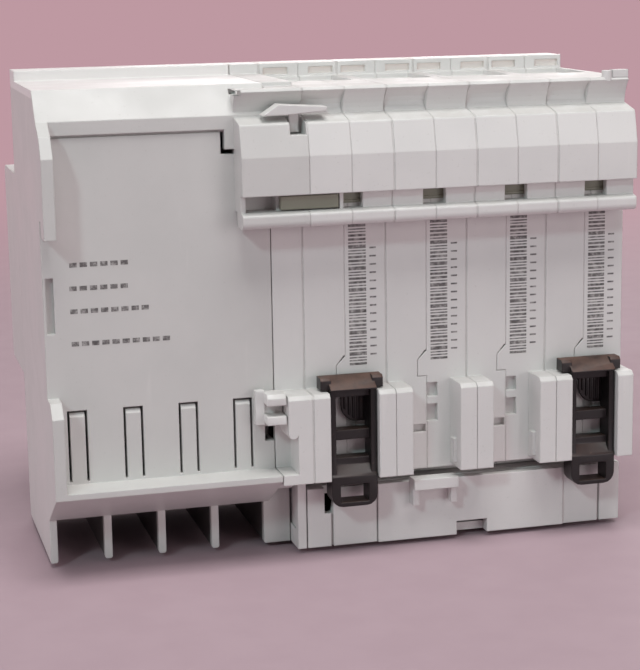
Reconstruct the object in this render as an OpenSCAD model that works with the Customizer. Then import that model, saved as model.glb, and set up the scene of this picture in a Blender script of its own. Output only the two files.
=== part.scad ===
// Four-pole modular circuit breaker with a residual-current add-on block at its side.
// Millimetres. +Z up, the toggles face -Y, the mounting rail lies along X behind the body.
// The origin is the middle of the rail seat: X at mid width, Y on the rail plane,
// Z on the rail's centre line.

/* [Poles] */
// Width of one pole
pole_w = 18; // [17.5:0.1:20]
// Gap between neighbouring poles, seen as a dark seam
seam = 0.3; // [0.1:0.05:0.5]
// Gap between the two halves of a pole
parting = 0.1; // [0.05:0.05:0.2]
// Thickness of the moulded outer walls
wall = 1.8; // [1.5:0.1:2.2]
// Thickness of the side walls between poles
side_wall = 1.2; // [1:0.1:1.4]
// Clearance round pieces that lie loosely in the mouldings
clear = 0.3; // [0.2:0.05:0.4]
// Radial clearance of pivots and rivets in their bores
pivot_clear = 0.05; // [0.03:0.01:0.08]

/* [Side profile] */
// Height of the breaker body
body_h = 85; // [84:0.5:90]
// Depth from the rail plane to the shoulders
body_d = 44; // [43:0.5:47]
// Height of the nose that passes through a panel
nose_h = 45; // [44:0.5:46]
// Depth from the rail plane to the front of the nose
nose_d = 66; // [65:0.5:69]
// Height of the raised strip along the top front edge
strip_h = 3; // [2:0.25:4]
// Depth of that strip, front to back
strip_d = 8; // [7:0.5:8.5]
// How far the top edge overhangs the rail plane
overhang = 2; // [1:0.25:3]
// Depth of the well round a wire entry
well_d = 1; // [0.6:0.1:1.2]

/* [Rail hook] */
// Width of the mounting rail
rail_h = 35; // [35:0.5:36]
// Depth of the hook's groove for the rail's edge
hook_gap = 1.8; // [1.5:0.1:2.2]
// How far the hook's lip reaches over the rail's edge
hook_overlap = 2.9; // [2.5:0.1:3.2]
// How far the hook ridge stands behind the rail plane
ridge_y = 7; // [6.5:0.1:7.5]
// Height of the hook's lip
lip_h = 3; // [2.6:0.1:3.4]
// Height of the sunk strip above the lip
sunk_h = 3.7; // [3.2:0.1:4.2]
// Depth of the sunk strip
sunk_d = 1.8; // [1.4:0.1:2.2]
// Height of the ridge's upright face
upright_h = 7.8; // [7:0.1:8.6]
// Height of the ridge's slanted upper face
slant_h = 6.7; // [6:0.1:7.2]
// How far the slanted face leans in
slant_in = 1.5; // [1:0.1:2]
// Width of the window in the sunk strip
window_w = 5; // [4.4:0.1:5.4]
// Depth of the hollowed half of the wall above the ridge
scoop_d = 0.9; // [0.4:0.1:1.2]

/* [Rail clips] */
// Room between the rail's lower edge and the lower blocks
block_drop = 3.1; // [2.8:0.1:3.5]
// Height of the lower blocks' underside above the body's foot
block_foot = 3.1; // [2.8:0.1:3.5]
// Width of the clip channel between the lower blocks
channel_w = 10.6; // [10:0.1:11.2]
// How far a closed clip's hook reaches over the rail's edge
clip_overlap = 2.6; // [2.2:0.1:2.8]
// How far a clip's wings reach past the channel, each side
clip_wing = 1.5; // [1:0.1:2]
// How far a clip's pull loop reaches below the lower blocks
clip_loop_h = 6; // [5:0.25:7]
// Travel of a clip, from open up to closed
clip_travel = 2.8; // [2.6:0.1:3.2]
// Travel of the add-on's latch, up to the rail's edge
latch_travel = 3; // [2.8:0.1:3.4]

/* [Terminals] */
// Distance of a breaker terminal's screw from the rail's centre line
screw_z = 32; // [31.5:0.25:33]
// Radius of a terminal screw's shank
screw_r = 2.5; // [2:0.1:2.6]
// Radius of a terminal screw's head
screw_head_r = 3.2; // [3:0.1:3.5]
// Height of a terminal screw's head
screw_head_h = 3; // [2.5:0.1:3.2]
// Travel of a terminal cage
cage_travel = 5; // [4:0.1:5.2]
// Thickness of a cage's walls
cage_wall = 2; // [1.6:0.1:2.2]
// Width of a cage
cage_w = 10.4; // [9.6:0.1:11]
// Height of a cage
cage_h = 9; // [8:0.25:10]
// Clear gap for a wire in an open cage
wire_gap = 8; // [7:0.1:8.5]
// Thickness of the conductor tongue in a cage
tongue_t = 1.2; // [1:0.1:1.6]
// Width of the conductor tongue
tongue_w = 6; // [5:0.25:7]

/* [Switching] */
// Distance of the toggle's pivot behind the nose front
toggle_set = 9; // [8:0.25:9.5]
// Width of the toggle's hub
hub_w = 12; // [11:0.25:12.4]
// Radius of the toggle's axle stubs
axle_r = 2; // [1.6:0.1:2.4]
// Reach of the toggle from its pivot to its tip
toggle_r = 19.5; // [18:0.25:21]
// Thickness of the toggle's lever
lever_t = 4.4; // [4:0.1:5]
// Angle of the toggle from level, up or down
toggle_angle = 38; // [34:1:40]
// Radius of the bar that ties the toggles
tie_r = 1.2; // [1:0.1:1.4]
// Height of the contact arm's pivot above the rail's centre line
arm_z = 8; // [7:0.25:9]
// Length of the contact arm from its pivot to the contact
arm_l = 17; // [16:0.25:18]
// Thickness of the contact arm
arm_t = 3.2; // [2.6:0.1:3.6]
// Thickness of a silver contact
contact_t = 0.8; // [0.6:0.1:1.2]
// Angle by which the contact arm opens
arm_angle = 25; // [20:1:27]

/* [Add-on block] */
// Width of the add-on block
addon_w = 54; // [53:0.5:56]
// Height of the add-on's top above the breaker's top
addon_rise = 0.8; // [0.5:0.1:1.6]
// Height of the arm that reaches under the breaker
arm_h = 13; // [12.5:0.25:14]
// Depth of that arm
arm_d = 40; // [39:0.5:42]
// Width of the coupling plate next to the breaker
plate_w = 6.7; // [6.4:0.1:7.2]
// Width of the hook ridge on the add-on
addon_ridge_w = 14; // [13.5:0.25:15]
// Thickness of the ridge and block at the add-on's end
end_wall = 2.4; // [2:0.1:3]
// Thickness of the end wall beside the cable openings
bay_wall = 1.5; // [1.3:0.1:2]
// Depth of the ledge above the cable openings
ledge_d = 7; // [6:0.25:7.5]
// Thickness of the ledge's edge
ledge_t = 1.3; // [1:0.1:1.8]
// Setback of the fins between the cable openings
fin_set = 6.5; // [5.5:0.25:7.5]
// Thickness of the fins
fin_t = 1.6; // [1.4:0.1:2]
// Width of the solid foot next to the coupling plate
foot_w = 8; // [7.6:0.1:8.4]
// Distance of the outgoing screws above the add-on's foot
out_screw_z = 16.8; // [16.5:0.1:17.5]
// Width of the spring tongues in the back panel
tab_w = 4.1; // [3.5:0.1:4.6]
// Spacing of the spring tongues
tab_pitch = 11.55; // [11:0.05:11.7]
// Travel of the test button
button_travel = 1.6; // [1:0.1:1.8]
// Radius of the test button
button_r = 4; // [3.5:0.1:4.5]
// Spacing of the conductors that pass through the ring core
lead_pitch = 3.5; // [3.2:0.1:3.8]
// Thickness of those conductors
lead_t = 2; // [1.6:0.1:2.2]

/* [Hidden] */
$fn = 48;

pole_count = 4;
poles = [1 : pole_count];
eps = 0.5;

// Places along X: the whole width is centred, with the add-on on the +X side
breaker_w = pole_count * pole_w;
left_x = -(breaker_w + addon_w) / 2;
joint_x = left_x + breaker_w;
function pole_x(i) = left_x + (i - 0.5) * pole_w;
function addon_x(s) = joint_x + s;
half_w = (pole_w - seam) / 2;
inner_half = half_w - side_wall;
seat_half = inner_half - clear;

// Heights of the side profile, from the rail's centre line
top_z = body_h / 2;
lip_z = rail_h / 2 - hook_overlap;
groove_z = rail_h / 2 + clear;
lip_top_z = lip_z + lip_h;
sunk_top_z = lip_top_z + sunk_h;
crease_z = sunk_top_z + upright_h;
ridge_top_z = crease_z + slant_h;
ridge_foot_z = ridge_top_z + 1.2;
sunk_y = ridge_y - sunk_d;
sunk_floor_z = lip_top_z + 0.3;
ridge_floor_z = groove_z + 1;
edge_r = 0.6;
lip_r = 1.2;
nose_cut = 1.2;
window_shift = 0.2;
post_t = 0.8;
pocket_d = 0.7;
label_d = 0.4;
nose_z = nose_h / 2;
block_top_z = -rail_h / 2 - block_drop;
block_low_z = block_foot - top_z;
block_h = block_top_z - block_low_z;
block_edge = 0.8;
relief_d = 6;
relief_z = 2.3 - top_z;

// Guide recesses in the clip channel, the stop on a lower block and the jog in the parting line
guide_d = 1.2;
guide_w = 2.4;
guide_slots = [[0.51, 0.71], [0.8, 0.96]];
ledge_slot = [0.39, 0.48];
stop_t = 0.8;
stop_y = [2.4, 4.4];
stop_z = [block_low_z + 0.06 * block_h, block_low_z + 0.34 * block_h];
jog_x = 2;
jog_top_z = block_top_z + 6.4;
jog_low_z = block_top_z + 0.85;

// Rail clips: faces along Y, windows as shares of the block's height, pull loop
clip_back = 0.8;
clip_hook_y = hook_gap - 0.4;
clip_body_y = 4;
clip_ramp_y = 6.2;
clip_rim_y = stop_y[1] + 4 * clear;
clip_foot_y = 6.1;
clip_frame = 1.2;
clip_windows = [[0.22, 0.43], [0.54, 0.92]];
flare_z = [block_low_z + 0.5, block_low_z + 2.7];
loop_back = 1.6;
loop_half = 3.1;
loop_bar = 0.9;
loop_top = 1.2;
loop_r = 2.4;

// Places along Y of one terminal, from the shoulder inwards
head_front_y = -body_d + wall + clear;
head_back_y = head_front_y + screw_head_h;
cage_front_y = head_back_y + 0.2 + cage_travel;
tongue_y = cage_front_y + cage_wall + 0.4;
tongue_back_y = tongue_y + tongue_t;
wire_back_y = tongue_back_y + wire_gap;
cage_back_y = wire_back_y + cage_wall;
screw_tip_y = tongue_y - 0.15;
cage_side = 1.2;
wire_w = cage_w - 2 * cage_side;
head_bore_r = screw_head_r + clear;

// Switching pieces
toggle_y = -nose_d + toggle_set;
arm_y = tongue_y - 2 * contact_t - 0.15 - arm_t / 2;
hub_r = (nose_d - body_d) / 2;
tie_reach = toggle_r - 3;
slot_half_h = hub_r - 0.6;
plate_count = 7;
plate_low_z = -20;
plate_pitch = 2.4;
plate_t = 1;
notch_half = 3.6;
rivet_r = 1.5;
rivet_head_r = 2.6;
rivet_head_t = 0.7;
rivet_boss_r = 2.7;
rivet_places = [[-8, top_z - 6], [-8, 6 - top_z], [5 - body_d, nose_z + 1.8], [5 - body_d, -nose_z - 1.8]];

// Add-on places
addon_top_z = top_z + addon_rise;
arm_gap = 0.2;
foot_z = -top_z - arm_gap - arm_h;
ledge_z = block_low_z + 2.2;
bay_roof_z = foot_z + 9.4;
bay_w = (addon_w - bay_wall - foot_w - 3 * fin_t) / pole_count;
function bay_s(k) = foot_w + bay_w / 2 + (k - 1) * (bay_w + fin_t);
out_cage_gap = 1.3;
inner_wall = 0.8;
out_cage_w = bay_w + fin_t - out_cage_gap;
out_z = foot_z + out_screw_z;
panel_top_z = ridge_top_z - 1.3;
bevel_z = panel_top_z + 2.8;
bevel_d = 4.5;
band_d = 0.5;
groove_d = 0.6;
corner_w = 2;
corner_h = 4;
tab_s = 13.45;
tab_top_z = block_top_z - 1;
slot_t = 0.5;
tab_bevel = 0.8;
shoulder = [2.5, 2.6];
end_crease_z = crease_z + 1.5;
end_block_z = block_top_z + 1.8;
end_cut = 2.8;
fin_round = 0.5;
slide_half = 6.3;
nub_r = 1;
nub_z = [-0.9, 1.4];
end_rise = [3.6, 1.5];
nub_x = half_w - end_rise[0] - nub_r;
function lead_y(i) = -29.5 + (pole_count - i) * lead_pitch;
lead_mid_y = (lead_y(1) + lead_y(pole_count)) / 2;
lead_h = 4;
lead_run_z = foot_z + 5.6;
riser_s = 2.6;
leg_half = 1.2;
ring_s = 10.2;
ring_l = 9;
ring_skin = 1.1;
ring_clear = 0.1;
ring_in_r = 1.5 * lead_pitch + lead_t / 2 + 1;
ring_out_r = ring_in_r + 6.5;
lever_s = 22;
button_s = 41;
button_flange = 1.2;
button_proud = 0.8;
relay_s = 31;
relay_w = 14;
relay_h = 18;
relay_d = 18;
relay_z = 8;
coil_y = -13;
coil_r = 6;
coil_h = 17.5;
coil_core_r = 2.2;
coil_core_out = 2;
flange_t = 1.2;
flange_half = coil_r + 0.5;
strip_gap = 4.3;
strip_t = 1;

// Arm under the breaker: joints of its cover, its notches and its bracket, from the breaker's edge
cover_joint = [15.6, 58.5];
arm_joint = [5.6, 67];
cover_notch_w = 7;
cover_notch_h = 3;
bracket_s = 27.8;
bracket_half = 5;
bracket_leg = 1.4;
bracket_h = 6;
gap_w = 1.7;
gap_h = 5.6;

// Latch beside the last pole
finger_s = [3.3, 5.3];
finger_h = 8;
latch_s = [5.3, 9.6];
latch_overlap = 0.5;
latch_top_z = latch_overlap - rail_h / 2 - latch_travel;
latch_out = 0.6;
latch_bar_h = 2.3;
latch_cross = [6.4, 4.6];
latch_hole_z = [-11.2, -8];

// Springy hook over the ridge: its tip, shoulder, far end and stem, and the recess for the stem
hook_tip = [9, 4];
hook_top = [5.6, 2.2];
hook_end = [-4.4, 1.5];
hook_t = 0.9;
hook_s = [1, 3];
hook_y = [1.4, ridge_y - 2];
stem_y = [ridge_y - 5.4, ridge_y - 4.3];
recess_s = [0, 3.6];
recess_z = crease_z + 4.2;

body_grey = [0.86, 0.85, 0.83];
addon_grey = [0.85, 0.85, 0.83];
cream = [0.95, 0.92, 0.86];
clip_black = [0.1, 0.09, 0.09];
copper = [0.78, 0.48, 0.3];
steel = [0.72, 0.73, 0.75];
khaki = [0.46, 0.46, 0.38];

// Extrudes a Y-Z outline along X from x0 to x1
module along_x(x0, x1) {
  translate([x0, 0, 0]) rotate([90, 0, 90]) linear_extrude(x1 - x0) children();
}

// Box given by its two corners
module span(low, high) {
  translate(low) cube(high - low);
}

// Round bar along X or along Y
module bar_x(r, x0, x1) {
  translate([x0, 0, 0]) rotate([0, 90, 0]) cylinder(r = r, h = x1 - x0);
}
module bar_y(r, y0, y1) {
  translate([0, y0, 0]) rotate([-90, 0, 0]) cylinder(r = r, h = y1 - y0);
}

// Points of a round corner about a centre, from angle a0 to angle a1
function arc(y, z, r, a0, a1) = [for (n = [0 : 4])
  let (a = a0 + (a1 - a0) * n / 4) [y + r * cos(a), z + r * sin(a)]];

// Points of the wall that leans out from the ridge's foot to the top edge, hollowed by a depth
function scoop_points(depth) = [for (n = [5 : -1 : 0]) let (t = n / 5)
  [overhang * t * t - depth * 4 * t * (1 - t), ridge_foot_z + (top_z - edge_r - ridge_foot_z) * t]];

// Outline of the hook ridge: overhanging top, slanted and upright faces, sunk strip, lip, rail groove
function ridge_points(depth) = concat(
  [[overhang - 0.5, top_z]], scoop_points(depth),
  arc(ridge_y - slant_in - edge_r, ridge_top_z - edge_r, edge_r, 80, 12),
  [[ridge_y, crease_z], [ridge_y, sunk_top_z], [sunk_y, sunk_top_z], [sunk_y, sunk_floor_z]],
  arc(ridge_y - edge_r, lip_top_z - edge_r, edge_r, 60, 0),
  arc(ridge_y - lip_r, lip_z + lip_r, lip_r, 0, -90),
  [[hook_gap, lip_z], [hook_gap, groove_z], [0, groove_z]]);

// Outline of the lower block below the rail
function block_points() = [
  [0, block_top_z], [ridge_y - block_edge, block_top_z], [ridge_y, block_top_z - block_edge],
  [ridge_y, block_low_z], [0, block_low_z]];

// Whole side outline of a pole, with its upper wall hollowed by a depth
module pole_outline(depth) {
  polygon(concat(ridge_points(depth), block_points(), [
    [0, relief_z], [-relief_d, relief_z], [-relief_d, -top_z],
    [-body_d, -top_z], [-body_d, -nose_z], [nose_cut - nose_d, -nose_z],
    [-nose_d, nose_cut - nose_z], [-nose_d, nose_z - nose_cut], [nose_cut - nose_d, nose_z],
    [-body_d, nose_z], [-body_d, top_z + strip_h], [strip_d - body_d, top_z + strip_h],
    [strip_d - body_d, top_z]]));
}

// Hollow of a pole: body, nose and the inside of the ridge
module pole_hollow() {
  polygon([[-wall, top_z - wall], [-wall, ridge_top_z - wall], [sunk_y - wall, ridge_top_z - wall],
    [sunk_y - wall, ridge_floor_z], [-wall, ridge_floor_z], [-wall, relief_z + wall],
    [-relief_d - wall, relief_z + wall], [-relief_d - wall, -top_z + wall],
    [wall - body_d, -top_z + wall], [wall - body_d, wall - nose_z], [wall - nose_d, wall - nose_z],
    [wall - nose_d, nose_z - wall], [wall - body_d, nose_z - wall], [wall - body_d, top_z - wall]]);
}

// Ring boss on a side wall, with a blind bore for a pivot
module pivot_boss(y, z, x0, r, bore_r) {
  translate([0, y, z]) difference() {
    bar_x(r, x0, inner_half + 0.1);
    bar_x(bore_r, x0 - eps, inner_half);
  }
}

// Bosses inside one half shell
module shell_bosses() {
  pivot_boss(toggle_y, 0, hub_w / 2 + clear, axle_r + 1.6, axle_r + pivot_clear);
  pivot_boss(arm_y, arm_z, 3.5 + clear, 3, rivet_r + pivot_clear);
  for (p = rivet_places) translate([0, p[0], p[1]]) bar_x(rivet_boss_r, parting / 2, inner_half + 0.1);
  for (z = [screw_z, -screw_z]) translate([0, 0, z]) intersection() {
    bar_y(head_bore_r + 1.1, wall - body_d - 0.1, head_back_y - 0.4);
    span([parting / 2, -body_d, -10], [inner_half, 0, 10]);
  }
}

// Tongue of the parting line's jog in the rail floor, grown by a gap
module jog(gap) {
  rotate([90, 0, 0]) linear_extrude(wall + 2 * eps, center = true)
    polygon([[-eps, jog_top_z + gap], [gap * 4, jog_top_z + gap], [jog_x + gap, jog_top_z - jog_x],
      [jog_x + gap, jog_low_z - gap], [-eps, jog_low_z - gap]]);
}

// Cuts through one half shell: toggle slot, entries, window, clip channel, recesses and rivet holes
module shell_cuts(right, window) {
  span([-eps, -nose_d - eps, -slot_half_h], [hub_w / 2 + clear, wall - nose_d + eps, slot_half_h]);
  for (z = [screw_z, -screw_z]) translate([0, 0, z]) bar_y(head_bore_r, -body_d - eps, head_back_y);
  for (side = [0, 1]) mirror([0, 0, side])
    span([-eps, tongue_back_y - clear, top_z - wall - eps], [wire_w / 2, wire_back_y, top_z + eps]);
  span([-eps, strip_d - body_d + 1, top_z - well_d], [inner_half - 0.2, wire_back_y + 5, top_z + eps]);
  span([guide_w, strip_d - body_d - pocket_d, top_z + 0.5],
    [half_w - 0.8, strip_d - body_d + eps, top_z + strip_h - 1]);
  for (side = [0, 1]) mirror([0, 0, side]) span([-eps, -nose_d - eps, slot_half_h + 2],
    [inner_half - 0.6, label_d - nose_d, nose_z - nose_cut - 1]);
  span([-eps, sunk_y - wall - eps, sunk_floor_z], [window, ridge_y + eps, sunk_top_z]);
  span([-eps, 0, block_low_z - eps], [channel_w / 2, ridge_y + eps, block_top_z + eps]);
  if (right) {
    span([guide_w / 8, -guide_d, block_low_z + ledge_slot[0] * block_h],
      [channel_w / 2 - clear, eps, block_low_z + ledge_slot[1] * block_h]);
    translate([0, -wall / 2, 0]) jog(parting);
  } else for (z = guide_slots)
    span([-eps, -guide_d, block_low_z + z[0] * block_h], [guide_w, eps, block_low_z + z[1] * block_h]);
  for (p = rivet_places) translate([0, p[0], p[1]]) {
    bar_x(rivet_r + pivot_clear, -eps, half_w + eps);
    bar_x(rivet_head_r + pivot_clear, half_w - rivet_head_t - 0.1, half_w + eps);
  }
}

// The +X half of a pole; the other half is drawn the same way and mirrored
module half_shell(right, window) {
  difference() {
    union() {
      difference() {
        along_x(parting / 2, half_w) pole_outline(right ? scoop_d : 0);
        along_x(-eps, inner_half) pole_hollow();
      }
      shell_bosses();
    }
    shell_cuts(right, window);
  }
  if (!right) {
    span([channel_w / 2 - stop_t, stop_y[0], stop_z[0]], [channel_w / 2 + 0.1, stop_y[1], stop_z[1]]);
    mirror([1, 0, 0]) intersection() {
      translate([0, -wall / 2, 0]) jog(0);
      span([-parting, -wall, jog_low_z], [jog_x, 0, jog_top_z]);
    }
  }
}

// One half of pole i; the last pole's right half is slotted for the coupling slide, the first pole's left
// half has a raised end and a round nub on its top edge, and neighbouring poles' lower blocks close up
module pole_shell(i, right) {
  last = right && i == pole_count;
  slot_end = half_w - slide_half - clear;
  shift = right ? -window_shift : window_shift;
  color(body_grey) translate([pole_x(i), 0, 0]) mirror([right ? 0 : 1, 0, 0]) {
    difference() {
      half_shell(right, last ? slot_end - post_t : window_w / 2 + shift);
      if (last) coupling_slot(slot_end, half_w + eps);
    }
    if (right ? i < pole_count : i > 1)
      along_x(half_w - eps, half_w + (seam - parting) / 2) polygon(block_points());
    if (!right && i == 1) {
      span([half_w - end_rise[0], overhang - 2, top_z - 0.1],
        [half_w, overhang - 0.3, top_z + end_rise[1]]);
      translate([nub_x, overhang - nub_r, top_z + nub_z[0]])
        cylinder(r = nub_r + 0.1, h = nub_z[1] - nub_z[0]);
    }
  }
}

module shell_rivets() {
  color(steel) for (p = rivet_places) translate([0, p[0], p[1]]) {
    bar_x(rivet_r, left_x + seam / 2, joint_x - seam / 2);
    bar_x(rivet_head_r, left_x + seam / 2, left_x + seam / 2 + rivet_head_t);
    bar_x(rivet_head_r, joint_x - seam / 2 - rivet_head_t, joint_x - seam / 2);
  }
}

// Round hub with axle stubs and a tapered lever, drawn at its lower stop
module lever(width, stub_half) {
  translate([0, toggle_y, 0]) rotate([toggle_angle, 0, 0]) {
    bar_x(hub_r, -width / 2, width / 2);
    bar_x(axle_r, -stub_half, stub_half);
    along_x(-width / 2 + 1, width / 2 - 1)
      polygon([[2 - hub_r, lever_t / 2 + 0.8], [1 - toggle_r, lever_t / 2], [-toggle_r, lever_t / 2 - 1],
        [-toggle_r, 1 - lever_t / 2], [1 - toggle_r, -lever_t / 2], [2 - hub_r, -lever_t / 2 - 0.8]]);
  }
}

module toggle(i) {
  color(clip_black) translate([pole_x(i), 0, 0]) difference() {
    lever(hub_w, inner_half - 0.1);
    tie_hole();
  }
}

// Hole for the tie bar, at the lever's rest angle
module tie_hole() {
  translate([0, toggle_y, 0]) rotate([toggle_angle, 0, 0]) translate([0, -tie_reach, 0])
    bar_x(tie_r + pivot_clear, -pole_w, pole_w);
}

module toggle_tie_bar() {
  color(clip_black) translate([0, toggle_y, 0]) rotate([toggle_angle, 0, 0]) translate([0, -tie_reach, 0])
    bar_x(tie_r, pole_x(1) - hub_w / 2, pole_x(pole_count) + hub_w / 2);
}

// Contact arm drawn open: pivot, arm and silver contact
module contact_arm(i) {
  color(copper) translate([pole_x(i), arm_y, arm_z]) rotate([-arm_angle, 0, 0]) {
    bar_x(3, -3.5, 3.5);
    bar_x(rivet_r, -seat_half, seat_half);
    span([-2, -arm_t / 2, -arm_l - 2], [2, arm_t / 2, 0]);
    translate([0, 0, -arm_l]) bar_y(1.8, 0, arm_t / 2 + contact_t);
  }
}

// Lower tongue with its foot in the side walls, and the strip up to the fixed contact
module fixed_contacts() {
  color(copper) for (i = poles) translate([pole_x(i), 0, 0]) {
    span([-tongue_w / 2, tongue_y, -screw_z - cage_h / 2 - 2],
      [tongue_w / 2, tongue_back_y, arm_z - arm_l + 3]);
    span([-seat_half, tongue_y, cage_h / 2 + 3 - screw_z],
      [seat_half, tongue_back_y, cage_h / 2 + 3 + flange_t - screw_z]);
    translate([0, 0, arm_z - arm_l]) bar_y(1.8, tongue_y - contact_t, tongue_y + 0.1);
  }
}

// Stacks of splitter plates, each notched where the contacts part
module arc_chutes() {
  front = tongue_back_y + 2;
  back = -wall - 3;
  color(steel) for (i = poles, n = [0 : plate_count - 1])
    translate([pole_x(i), 0, plate_low_z + plate_pitch * n]) linear_extrude(plate_t)
      polygon([[-seat_half, front], [-notch_half, front], [0, front + notch_half], [notch_half, front],
        [seat_half, front], [seat_half, back], [-seat_half, back]]);
}

// Trip coils: end flanges seated between the side walls, winding and core
module trip_coils() {
  color(copper) for (i = poles) translate([pole_x(i), coil_y, 0]) {
    for (z = [-flange_t / 2, coil_h - flange_t / 2])
      span([-seat_half, -flange_half, z], [seat_half, flange_half, z + flange_t]);
    cylinder(r = coil_r, h = coil_h);
    translate([0, 0, -coil_core_out]) cylinder(r = coil_core_r, h = coil_h + 2 * coil_core_out);
  }
}

// Upper tongue with its foot, and the bimetal strip that hangs from it
module bimetal_strips() {
  foot_low = screw_z - cage_h / 2 - 3 - flange_t;
  strip_y = tongue_back_y + strip_gap;
  color(steel) for (i = poles) translate([pole_x(i), 0, 0]) {
    span([-tongue_w / 2, tongue_y, foot_low], [tongue_w / 2, tongue_back_y, screw_z + cage_h / 2 + 2]);
    span([-seat_half, tongue_y, foot_low], [seat_half, strip_y + strip_t, foot_low + flange_t]);
    span([-tongue_w / 2 + 0.5, strip_y, 2], [tongue_w / 2 - 0.5, strip_y + strip_t, foot_low + 0.1]);
  }
}

// Open terminal cage round its tongue, with the tapped hole in its front wall
module cage(width, shift) {
  hole = width / 2 - cage_side;
  translate([0, -shift, 0]) difference() {
    span([-width / 2, cage_front_y, -cage_h / 2], [width / 2, cage_back_y, cage_h / 2]);
    span([-hole, cage_front_y + cage_wall, -cage_h], [hole, wire_back_y, cage_h]);
    bar_y(screw_r + 0.12, cage_front_y - eps, cage_front_y + cage_wall + eps);
  }
}

// Terminal screw with a crossed slot in its head
module terminal_screw() {
  difference() {
    union() {
      bar_y(screw_head_r, head_front_y, head_back_y);
      bar_y(screw_r, head_back_y - 0.1, screw_tip_y);
    }
    for (turn = [0, 90]) rotate([0, turn, 0])
      span([-screw_head_r, head_front_y - eps, -0.5], [screw_head_r, head_front_y + 1.2, 0.5]);
  }
}

module upper_cage(i) { color(steel) translate([pole_x(i), 0, screw_z]) cage(cage_w, 0); }
module upper_screw(i) { color(steel) translate([pole_x(i), 0, screw_z]) terminal_screw(); }
module outgoing_cage(k) { color(steel) translate([addon_x(bay_s(k)), 0, out_z]) cage(out_cage_w, 0); }
module outgoing_screw(k) { color(steel) translate([addon_x(bay_s(k)), 0, out_z]) terminal_screw(); }

// The lower terminals are closed on the add-on's conductors
module lower_cages() {
  color(steel) for (i = poles) translate([pole_x(i), 0, -screw_z]) cage(cage_w, cage_travel);
}
module lower_screws() {
  color(steel) for (i = poles) translate([pole_x(i), 0, -screw_z]) terminal_screw();
}

// Rail clip, drawn open: hook with a ramp between two wings that stop over the lower blocks, a body with
// rims, two windows and a groove that rides on the stop, a flared foot and a pull loop
module rail_clip(i) {
  bar_top_z = clip_overlap - rail_h / 2 - clip_travel;
  bar_low_z = block_top_z + clear;
  body_half = channel_w / 2 - clear;
  wing_half = channel_w / 2 + clip_wing;
  loop_low_z = block_low_z - clip_loop_h;
  color(clip_black) translate([pole_x(i), 0, 0]) difference() {
    union() {
      for (side = [0, 1]) mirror([side, 0, 0]) {
        along_x(body_half - eps, wing_half) polygon([[clip_hook_y, bar_low_z], [clip_hook_y, bar_top_z],
          [clip_body_y, bar_top_z], [clip_body_y + edge_r, bar_top_z - edge_r],
          [clip_body_y + edge_r, bar_low_z]]);
        span([body_half - clip_frame, clip_back, flare_z[0]], [body_half, clip_rim_y, bar_low_z + 0.1]);
      }
      along_x(-body_half, body_half) polygon([[clip_hook_y, bar_low_z], [clip_hook_y, bar_top_z],
        [clip_hook_y + clip_frame, bar_top_z], [clip_ramp_y, bar_low_z + edge_r / 2],
        [clip_ramp_y, bar_low_z]]);
      along_x(-body_half, body_half) polygon([[clip_back, bar_low_z + 0.1], [clip_body_y, bar_low_z + 0.1],
        [clip_body_y, flare_z[1]], [clip_foot_y, flare_z[0]], [clip_foot_y, block_low_z - 0.1],
        [clip_back, block_low_z - 0.1]]);
      translate([0, clip_foot_y, 0]) rotate([90, 0, 0]) linear_extrude(clip_foot_y - loop_back)
        polygon(concat([[-body_half, block_low_z], [body_half, block_low_z]],
          arc(body_half - loop_r, loop_low_z + loop_r, loop_r, 0, -90),
          arc(loop_r - body_half, loop_low_z + loop_r, loop_r, -90, -180)));
    }
    for (w = clip_windows) span([clip_frame - body_half, -eps, block_low_z + w[0] * block_h],
      [body_half - clip_frame, ridge_y, block_low_z + w[1] * block_h]);
    span([-loop_half, -eps, loop_low_z + loop_bar], [loop_half, ridge_y, block_low_z - loop_top]);
    span([-body_half - eps, stop_y[0] - clear, stop_z[0] - clip_travel - clear],
      [stop_t + clear - channel_w / 2, stop_y[1] + clear, stop_z[1] + clear]);
  }
}

// Slot in the sunk strip for the coupling slide, between two places along X
module coupling_slot(x0, x1) {
  span([x0, sunk_y - 1.4, sunk_floor_z], [x1, ridge_y + eps, sunk_top_z]);
}

// Flat bar that ties the add-on's ridge to the last pole's ridge
module coupling_slide() {
  color(khaki) span([joint_x - seam / 2 - slide_half, sunk_y - 1.1, sunk_floor_z + clear],
    [joint_x + slide_half - slot_t, sunk_y + 0.4, sunk_top_z - clear]);
}

// Springy hook over the ridge top, from the add-on onto the last pole
module top_clip() {
  base_z = ridge_foot_z + clear;
  color(addon_grey) translate([joint_x, 0, 0]) {
    translate([0, hook_y[1], 0]) rotate([90, 0, 0]) linear_extrude(hook_y[1] - hook_y[0])
      polygon([[hook_tip[0], base_z], [hook_top[0], base_z + hook_top[1]],
        [hook_end[0], base_z + hook_end[1]], [hook_end[0], base_z + hook_end[1] - hook_t],
        [hook_tip[1], base_z]]);
    span([hook_s[0], stem_y[0], recess_z + clear], [hook_s[1], stem_y[1], base_z + hook_t / 2]);
  }
}

// Outline of the add-on's main body: bevelled top, back panel, ledge and the slanted face under it
module addon_outline() {
  polygon([[wall - body_d, top_z + strip_h], [strip_d - body_d, top_z + strip_h],
    [strip_d - body_d, addon_top_z], [-bevel_d, addon_top_z], [band_d, bevel_z], [band_d, panel_top_z],
    [-groove_d, panel_top_z], [-groove_d, panel_top_z - slot_t], [0, panel_top_z - slot_t], [0, ledge_z],
    [ledge_d, ledge_z], [ledge_d, ledge_z - ledge_t], [-fin_set, bay_roof_z], [-fin_set, foot_z],
    [wall - body_d, foot_z]]);
}

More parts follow.
